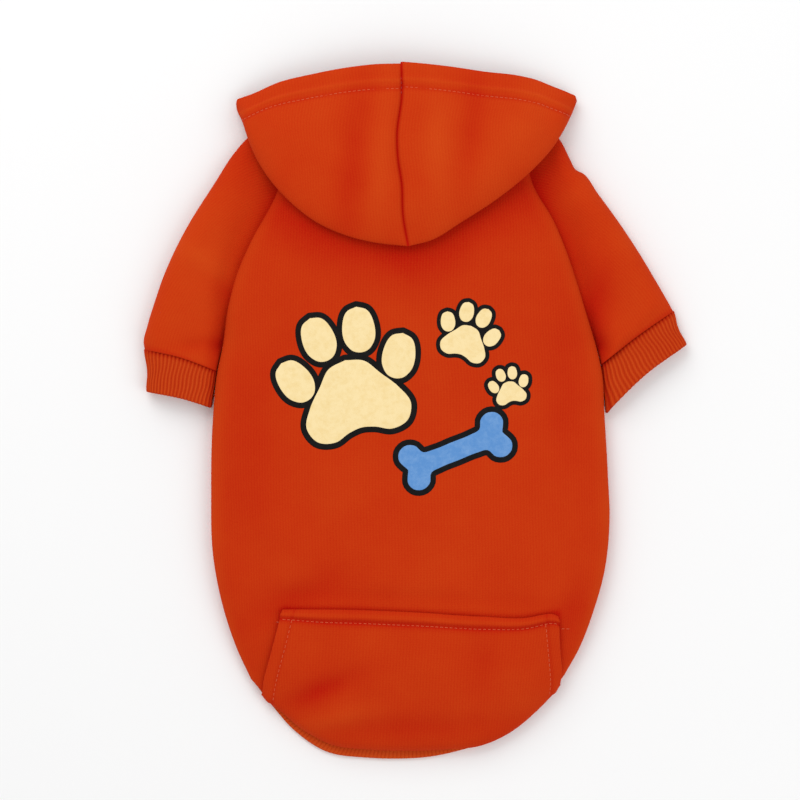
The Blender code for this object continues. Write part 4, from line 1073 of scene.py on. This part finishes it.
def stitch_row(line, normals, pitch=2.6 * MM, length=1.7 * MM, width=0.42 * MM):
    """Dashes along a line of points: each is a five-sided spindle between two places on the line,
    half sunk in the cloth, and by a slow sine deeper here and there. Points, quads, pattern places
    and painted light, which is none."""
    steps = np.linalg.norm(np.diff(line, axis=0, prepend=line[:1]), axis=1)
    at = np.cumsum(steps)
    count = max(int(at[-1] / pitch), 1)
    middle = (np.arange(count) + 0.5) * at[-1] / count

    def on(values, where):
        return np.stack([np.interp(where, at, values[:, k]) for k in range(3)], -1)

    start, end = on(line, middle - length / 2), on(line, middle + length / 2)
    normal = on(normals, middle)
    side = np.cross(normal, end - start)
    side /= np.linalg.norm(side, axis=1, keepdims=True)
    along = np.array([0.0, 0.0, 0.22, 0.78, 1.0, 1.0])[None, :, None, None]
    full = np.array([0.0, 0.55, 1.0, 1.0, 0.55, 0.0])[None, :, None, None] * width / 2
    turn = np.linspace(0, 2 * np.pi, 6)[None, None, :, None]
    start, end, normal, side = (v[:, None, None] for v in (start, end, normal, side))
    grid = start + (end - start) * along + full * (np.cos(turn) * side + np.sin(turn) * normal)
    pull = 0.5 * np.sin(middle / (9 * MM)) * np.sin(middle / (3.1 * MM) + 1)
    rise = 0.14 * np.sin(np.pi * along) + (0.5 * pull - 0.05)[:, None, None, None]
    grid = grid + normal * width * rise
    quads = grid_faces(6, 6)
    quads = (quads[None] + np.arange(count)[:, None, None] * 36).reshape(-1, 4)
    points = grid.reshape(-1, 3)
    pattern = np.stack(np.broadcast_arrays(along * length, turn * width / 2), -1).reshape(1, 36, 2)
    return points, quads, np.tile(pattern, (count, 1, 1)).reshape(-1, 2), np.zeros(len(points))


def sewn(name, rows, material):
    """Rows of stitches joined as one piece."""
    points, quads, pattern, painted_light, count = [], [], [], [], 0
    for some, corners, flat, painted_light_tone in rows:
        first, index = welded(some)
        points.append(some[first])
        pattern.append(flat[corners])
        quads.append(index[corners] + count)
        painted_light.append(painted_light_tone[first])
        count += len(first)
    made = (np.concatenate(part) for part in (points, quads, pattern, painted_light))
    add_piece(name, *made, material)


def hood_row(half, rim, roll, s, w, **stitch):
    """A stitch row laid on the hood's top layer at shares s and w."""
    def skin(s, w):
        return hood_top_point(half, rim, roll, s, w)[0]

    line, normals = lift_from(skin, s, w, 0.0)
    return stitch_row(line, normals * np.sign(normals[:, 2:]), **stitch)


def hood_hem_row(half, rim, roll):
    """The stitches along half the hood's hem, at a set way in from the edge."""
    s = np.linspace(0.015, 0.955, 240)
    across = smooth_line(place(half["edge"]), s) - smooth_line(place(half["fold"]), s)
    w = 1 - HOOD_HEM_WIDTH / np.linalg.norm(across, axis=-1)
    keep = w > 0.05
    return hood_row(half, rim, roll, s[keep], w[keep])


def hood_seam_row(half, rim, roll):
    """The close stitches that hold the centre seam flat inside the hem, just beside the seam."""
    s, w = np.full(60, 0.004), np.linspace(0.83, 0.935, 60)
    return hood_row(half, rim, roll, s, w, pitch=2.5 * MM, length=1.5 * MM, width=0.6 * MM)


# Tacks past the pocket's top corners: across and along of their ends
POCKET_TACKS = (
    ((-0.352, 0.2280), (-0.335, 0.2275)),
    ((0.366, 0.2165), (0.390, 0.2160)),
)


def pocket_rows():
    """Stitch rows of the pocket: under its welt, down its sides and the tacks past its corners."""
    rows = [(np.linspace(0.004, 0.996, 300), np.full(300, POCKET_WELT_TO + ROW_PAST_WELT), 2.6 * MM)]
    for side in (POCKET_MARGIN + ROW_PAST_MARGIN, 1 - POCKET_MARGIN - 0.010):
        rows.append((np.full(120, side), np.linspace(POCKET_WELT_TO, 0.97, 120), 2.7 * MM))
    made = []
    for share, down, pitch in rows:
        line, normals, _, _ = pocket_point(share, down)
        made.append(stitch_row(line, normals * np.sign(normals[:, 2:]), pitch))
    for ends in POCKET_TACKS:
        line = smooth_line(place(ends), np.linspace(0, 1, 12))
        top, normals = lift_from(body_top, *on_body(line), 0.0)
        made.append(stitch_row(top, normals, 2.2 * MM, 1.8 * MM))
    return made


# Outlines of the print's shapes, as shares of their half size, from the upright axis clockwise:
# the right half of a pad and of a toe, and the upper right quarter of a bone
PAD = (
    (0.0, 0.56), (0.30, 0.48), (0.52, 0.22), (0.76, -0.08), (0.90, -0.40), (0.78, -0.66),
    (0.48, -0.74), (0.22, -0.64), (0.0, -0.60),
)
TOE = ((0.0, 0.40), (0.16, 0.34), (0.27, 0.08), (0.24, -0.20), (0.12, -0.34), (0.0, -0.37))
BONE = (
    (0.0, 0.17), (0.34, 0.17), (0.54, 0.20), (0.63, 0.36), (0.78, 0.42), (0.93, 0.36),
    (0.99, 0.22), (0.94, 0.08), (0.90, 0.0),
)
BONE_SPINE = 0.62  # half length of the line that a bone's film closes on
# Toes of a paw: across and along from its middle, and turn in degrees
TOES = ((-0.88, 0.40, 24), (-0.34, 0.98, 8), (0.34, 0.98, -8), (0.88, 0.40, -24))
# Print: kind, half size and place of its middle in mm, turn in degrees
MOTIFS = (
    ("paw", 33, -29, 2, 14),
    ("paw", 14.5, 33, 31, -20),
    ("bone", 31, 27, -30, 22),
    ("paw", 9.5, 57, 3, 12),
)
PRINT_MIDDLE = (-4.7 * MM, 8 * MM)
PRINT_OUTLINE = 3.0 * MM  # width of the dark rim
SMALL_OUTLINE = 0.72 * PRINT_OUTLINE  # round the small paws
RIM_LIFT = 0.14 * MM  # how far the dark film stands off the cloth
RIM_LIFT_STEP = 0.006 * MM  # more for each next one of a paw, so that none lie in one place
FILL_LIFT = 0.24 * MM


def closed_outline(part, up_and_down=False):
    """A closed line, anticlockwise, from its part at the right of the upright axis, mirrored. A
    bone's part is mirrored up and down first."""
    half = np.array(part)
    if up_and_down:
        half = np.vstack([half, (half * (1, -1))[::-1][1:]])
    return np.vstack([half, (half * (-1, 1))[::-1][1:]]) * (-1, 1)


def turned(points, degrees):
    """Plan points turned anticlockwise about the origin."""
    cos, sin = np.cos(np.radians(degrees)), np.sin(np.radians(degrees))
    return points @ np.array([[cos, sin], [-sin, cos]])


def motif_film(outline, spine, grow, lift, turn, middle, size):
    """A film on the back: rings that shrink from an outline towards its spine, over and then under,
    each point laid on the back panel by its plan and lifted along its normal."""
    line = smooth_line(outline * size, np.linspace(0, 1, 109))
    slopes = np.roll(line[:-1], -1, axis=0) - np.roll(line[:-1], 1, axis=0)
    slopes = np.vstack([slopes, slopes[:1]])
    slopes /= np.linalg.norm(slopes, axis=1, keepdims=True)
    line = line + np.stack([slopes[:, 1], -slopes[:, 0]], -1) * grow
    axis = np.stack([np.clip(line[:, 0], -spine * size, spine * size), 0 * line[:, 0]], -1)
    rings = np.concatenate([np.linspace(0, 0.9, 10), [0.96, 0.985, 1.0], [0.98, 0.5, 0]])
    rise = np.concatenate([np.ones(10), [0.97, 0.8, 0.3], [-1.2, -2.0, -2.0]]) * lift
    local = axis + (line - axis) * rings[:, None, None]
    plan = turned(local, turn) + middle
    s, w = on_body(plan.reshape(-1, 2))
    top, _ = lift_from(body_top, s, w, np.repeat(rise, len(line)))
    return top, grid_faces(*plan.shape[:2])[:, ::-1], plan.reshape(-1, 2), np.zeros(len(top))


def print_films():
    """The print's films: its dark rims, the pale fills and the blue ones."""
    films = {"outline": [], "cream": [], "blue": []}
    for kind, size, across, along, turn in MOTIFS:
        size = size * MM
        middle = np.array(PRINT_MIDDLE) + np.array([across, along]) * MM
        if kind == "bone":
            fill_colour, shapes = "blue", [(closed_outline(BONE, True), BONE_SPINE, (0, 0), 0)]
        else:
            fill_colour, shapes = "cream", [(closed_outline(PAD), 0.0, (0, 0), 0)]
            shapes += [(closed_outline(TOE), 0.0, (x, y), tilt) for x, y, tilt in TOES]
        rim = PRINT_OUTLINE if size > 20 * MM else SMALL_OUTLINE
        for number, (outline, spine, shift, tilt) in enumerate(shapes):
            at = turned(np.array(shift), turn) * size + middle
            for colour, grow, lift in (
                ("outline", rim, RIM_LIFT + RIM_LIFT_STEP * number), (fill_colour, 0.0, FILL_LIFT),
            ):
                film = motif_film(outline, spine, grow, lift, turn + tilt, at, size)
                films[colour].append(film)
    return films


# Finishes


def linear(hexes):
    """An sRGB hex colour as linear red, green, blue and alpha."""
    parts = np.array([int(hexes[i : i + 2], 16) for i in (1, 3, 5)]) / 255
    parts = np.where(parts <= 0.04045, parts / 12.92, ((parts + 0.055) / 1.055) ** 2.4)
    return (*parts.tolist(), 1.0)


def add_node(tree, kind, inputs=(), **settings):
    """A node of a kind with its settings; inputs gives a socket a value or another node's output."""
    node = tree.nodes.new(kind)
    for name, value in settings.items():
        setattr(node, name, value)
    for socket, value in dict(inputs).items():
        if isinstance(value, bpy.types.NodeSocket):
            tree.links.new(value, node.inputs[socket])
        else:
            node.inputs[socket].default_value = value
    return node


WAVE_BAND = 0.3142  # metres between a wave texture's bands at scale 1


def new_finish(name):
    """A new material and its node tree."""
    material = bpy.data.materials.new(name)
    material.use_nodes = True
    return material, material.node_tree


def set_surface(tree, ramp, relief, strength, depth, values):
    """Gives the shader a colour ramp, a relief drawn as a bump depth metres high, and values for
    its own sockets."""
    shader = tree.nodes["Principled BSDF"]
    bump = add_node(tree, "ShaderNodeBump", {"Height": relief, "Strength": strength, "Distance": depth})
    tree.links.new(ramp.outputs["Color"], shader.inputs["Base Color"])
    tree.links.new(bump.outputs["Normal"], shader.inputs["Normal"])
    for socket, value in values.items():
        shader.inputs[socket].default_value = value


def cloth_finish(name, painted_shade_colour, usual, painted_light_tone, wale, depth):
    """Knitted cotton: wales and courses wale metres apart, a nap of fine tufts, and a dye whose tone,
    with the painted light, runs from painted shade, redder in creases, to painted highlight, paler
    on swells and sides. It is matt, with a faint warm sheen."""
    material, tree = new_finish(name)
    flat = add_node(tree, "ShaderNodeUVMap", uv_map="pattern").outputs["UV"]
    place_at = add_node(tree, "ShaderNodeTexCoord").outputs["Object"]
    wales = add_node(tree, "ShaderNodeTexWave", {
        "Vector": flat, "Scale": WAVE_BAND / wale, "Distortion": 1.2, "Detail": 2.0,
        "Detail Scale": 1.4,
    }, bands_direction="X").outputs["Fac"]
    courses = add_node(tree, "ShaderNodeTexWave", {
        "Vector": flat, "Scale": WAVE_BAND / (0.8 * wale), "Distortion": 1.8, "Detail": 2.0,
        "Detail Scale": 1.7,
    }, bands_direction="Y").outputs["Fac"]
    knit = add_node(
        tree, "ShaderNodeMath", {0: courses, 1: 0.35, 2: wales}, operation="MULTIPLY_ADD"
    ).outputs[0]
    # Nap: tufts about 0.7 mm across
    nap = add_node(tree, "ShaderNodeTexNoise", {
        "Vector": place_at, "Scale": 1 / 0.0007, "Detail": 3.0, "Roughness": 0.65,
    }).outputs["Fac"]
    # The dye took a little unevenly, over about 30 mm
    patches = add_node(tree, "ShaderNodeTexNoise", {
        "Vector": place_at, "Scale": 1 / 0.03, "Detail": 3.0, "Roughness": 0.5,
    }).outputs["Fac"]
    # Tone: 0.235, and shares of painted light, nap, patches and knit
    tone, painted_light = 0.235, add_node(tree, "ShaderNodeAttribute", attribute_name="painted_light").outputs["Fac"]
    for part, share in ((painted_light, 0.30), (nap, 0.24), (patches, 0.20), (knit, 0.06)):
        tone = add_node(
            tree, "ShaderNodeMath", {0: part, 1: share, 2: tone}, operation="MULTIPLY_ADD"
        ).outputs[0]
    ramp = add_node(tree, "ShaderNodeValToRGB", {"Fac": tone})
    # The ramp's first colour is painted shade, its last painted highlight
    first, last = ramp.color_ramp.elements
    first.position, first.color = 0.18, linear(painted_shade_colour)
    last.position, last.color = 0.82, linear(painted_light_tone)
    ramp.color_ramp.elements.new(0.5).color = linear(usual)
    relief = add_node(
        tree, "ShaderNodeMath", {0: nap, 1: 0.7, 2: knit}, operation="MULTIPLY_ADD"
    ).outputs[0]
    set_surface(tree, ramp, relief, 0.5, depth, {
        "Roughness": 0.95, "Specular IOR Level": 0.07,
        "Sheen Weight": 0.12, "Sheen Roughness": 0.5, "Sheen Tint": linear("#ff7636"),
    })
    return material


def ink_finish(name, usual, faded):
    """Screen-print plastisol: a thin rubbery film, half matt, that shows the knit under it faintly
    and is rubbed a little paler in specks."""
    material, tree = new_finish(name)
    place_at = add_node(tree, "ShaderNodeTexCoord").outputs["Object"]
    rubbed = add_node(tree, "ShaderNodeTexNoise", {
        "Vector": place_at, "Scale": 1 / 0.004, "Detail": 5.0, "Roughness": 0.7,
    }).outputs["Fac"]
    ramp = add_node(tree, "ShaderNodeValToRGB", {"Fac": rubbed})
    first, last = ramp.color_ramp.elements
    first.position, first.color = 0.42, linear(usual)
    last.position, last.color = 0.78, linear(faded)
    # The knit shows through, 1.6 mm apart
    knit = add_node(tree, "ShaderNodeTexWave", {
        "Vector": place_at, "Scale": WAVE_BAND / 0.0016, "Distortion": 1.0, "Detail": 1.0,
    }, bands_direction="X").outputs["Fac"]
    set_surface(tree, ramp, knit, 0.25, 0.1 * MM, {"Roughness": 0.6, "Specular IOR Level": 0.15})
    return material


def thread_finish(name, usual, light):
    """Spun polyester thread: two plies turned about 0.6 mm apart, smoother than the cloth."""
    material, tree = new_finish(name)
    flat = add_node(tree, "ShaderNodeUVMap", uv_map="pattern").outputs["UV"]
    plies = add_node(
        tree, "ShaderNodeTexWave", {"Vector": flat, "Scale": WAVE_BAND / 0.0006},
        bands_direction="DIAGONAL",
    ).outputs["Fac"]
    ramp = add_node(tree, "ShaderNodeValToRGB", {"Fac": plies})
    ramp.color_ramp.elements[0].color = linear(usual)
    ramp.color_ramp.elements[1].color = linear(light)
    set_surface(tree, ramp, plies, 0.4, 0.1 * MM, {"Roughness": 0.55, "Sheen Weight": 0.1})
    return material


def build():
    """All the garment's pieces."""
    # Brushed fleece's outside is jersey, soft and matt: its wales, 1.1 mm apart, are drawn at
    # 1.7 mm to show
    # Colours: painted shade, the usual dye, painted highlight
    fleece = cloth_finish(
        "brushed_cotton_fleece", "#b81104", "#c6350b", "#d14b14", 1.7 * MM, 0.09 * MM
    )
    # Rib knit of the same dye, with painted shade deeper in its grooves: its wales, 0.9 mm apart,
    # are drawn at 1.1 mm to show
    rib = cloth_finish("rib_knit_cotton", "#a81404", "#c03a0e", "#d4541e", 1.1 * MM, 0.12 * MM)
    # Thread a shade paler than the cloth, and the centre seam's painted deeper, as the shade in the
    # seam's pinches
    thread = thread_finish("sewing_thread", "#d2481a", "#e2642f")
    seam_thread_painted_shade = thread_finish("seam_thread_painted_shade", "#a01505", "#b8240a")
    # Plastisol inks: flat and even, with the knit just showing
    inks = {
        "outline": ink_finish("plastisol_black", "#050405", "#141213"),
        "cream": ink_finish("plastisol_cream", "#fbe3ab", "#f2d492"),
        "blue": ink_finish("plastisol_blue", "#5d92d0", "#7aa6da"),
    }
    of_fleece, of_rib = (fleece, "brushed_fleece"), (rib, "rib_knit")

    def wall(name, surface, thickness, cloth, bulge, seam=None, normals=None):
        made = cloth_wall(*surface, thickness, bulge, seam, normals)
        add_piece(f"{name}_cloth", *made, *cloth, name)

    back = back_panel()
    wall("back_panel", back, FLEECE, of_fleece, bulge=0.3)
    pocket, thickness = pocket_surface()
    wall("pocket", pocket, thickness, of_fleece, bulge=0.8)
    sewn("pocket_stitches", pocket_rows(), thread)
    wall("belly_panel", belly_surface(), PRESSED_FLEECE, of_fleece, bulge=0.3)
    add_piece("hem_band_cloth", *hem_band_surface(), *of_rib, "hem_band")
    below_hood = [back[0]]
    for name, sleeve in (("left", SLEEVE_LEFT), ("right", SLEEVE_RIGHT)):
        surface = sleeve_surface(sleeve)
        below_hood.append(surface[0])
        wall(f"sleeve_{name}", surface, FLEECE, of_fleece, bulge=0.2)
        surface, thickness, normals = cuff_surface(sleeve)
        wall(f"cuff_{name}", surface, thickness, of_rib, bulge=0.7, normals=normals)
    cloth_map = height_map(np.vstack(below_hood))
    for name, half in (("left", HOOD_LEFT), ("right", HOOD_RIGHT)):
        surface, seam, fold = hood_half_surface(cloth_map, half)
        wall(f"hood_{name}", surface, FLEECE, of_fleece, bulge=0.9, seam=seam)
        sewn(f"hood_{name}_stitches", [hood_hem_row(half, *fold)], thread)
        if half is HOOD_LEFT:
            # Dark stitches: their thread's colour is painted shade of the seam's pinches
            sewn("hood_seam_stitches", [hood_seam_row(half, *fold)], seam_thread_painted_shade)
    for name, films in print_films().items():
        sewn(f"print_{name}", films, inks[name])


# Studio, in metres and watts
FLOOR_HALF = 3.0
FLOOR_LEVEL = -0.3 * MM  # just under the cloth, so that the two don't lie in one plane
SKY_STRENGTH = 0.665
LIGHTS = (  # name, place, size and power
    ("key", (-0.7, 1.3, 1.3), 1.5, 15.3),
    ("fill", (1.1, -0.5, 1.3), 1.3, 6.3),
)
CAMERA_HEIGHT = 3.5  # over the garment's middle height
CAMERA_AT = (-8.0 * MM, 6.0 * MM, CAMERA_HEIGHT + 8 * MM)
VIEW_WIDTH = 0.44  # what the picture takes in at that distance
SENSOR_WIDTH = 36  # in millimetres, as the lens is


def studio():
    """A pale floor, soft lights and a camera above, looking straight down."""
    mesh = bpy.data.meshes.new("floor")
    ways = ((-1, -1), (1, -1), (1, 1), (-1, 1))
    corners = [(x * FLOOR_HALF, y * FLOOR_HALF, FLOOR_LEVEL) for x, y in ways]
    mesh.from_pydata(corners, [], [(0, 1, 2, 3)])
    floor = bpy.data.objects.new("floor", mesh)
    bpy.context.scene.collection.objects.link(floor)
    # Backdrop paper: white and matt
    paper, tree = new_finish("backdrop_paper")
    tree.nodes["Principled BSDF"].inputs["Base Color"].default_value = linear("#fbfbfb")
    tree.nodes["Principled BSDF"].inputs["Roughness"].default_value = 0.9
    mesh.materials.append(paper)
    world = bpy.data.worlds.new("studio")
    world.use_nodes = True
    sky = world.node_tree.nodes["Background"]
    sky.inputs["Color"].default_value = (1, 1, 1, 1)
    sky.inputs["Strength"].default_value = SKY_STRENGTH
    bpy.context.scene.world = world
    for name, at, size, power in LIGHTS:
        light = bpy.data.lights.new(name, "AREA")
        light.size, light.energy = size, power
        lamp = bpy.data.objects.new(name, light)
        lamp.location = at
        # Turned towards the origin
        lamp.rotation_euler = (np.arctan2(np.hypot(at[0], at[1]), at[2]), 0, np.arctan2(at[0], -at[1]))
        bpy.context.scene.collection.objects.link(lamp)
    camera = bpy.data.cameras.new("camera")
    camera.sensor_width = SENSOR_WIDTH
    camera.lens = SENSOR_WIDTH * CAMERA_HEIGHT / VIEW_WIDTH
    camera.clip_end = 20
    eye = bpy.data.objects.new("camera", camera)
    eye.location = CAMERA_AT
    bpy.context.scene.collection.objects.link(eye)
    bpy.context.scene.camera = eye
    bpy.context.scene.view_settings.view_transform = "Standard"


studio()
build()
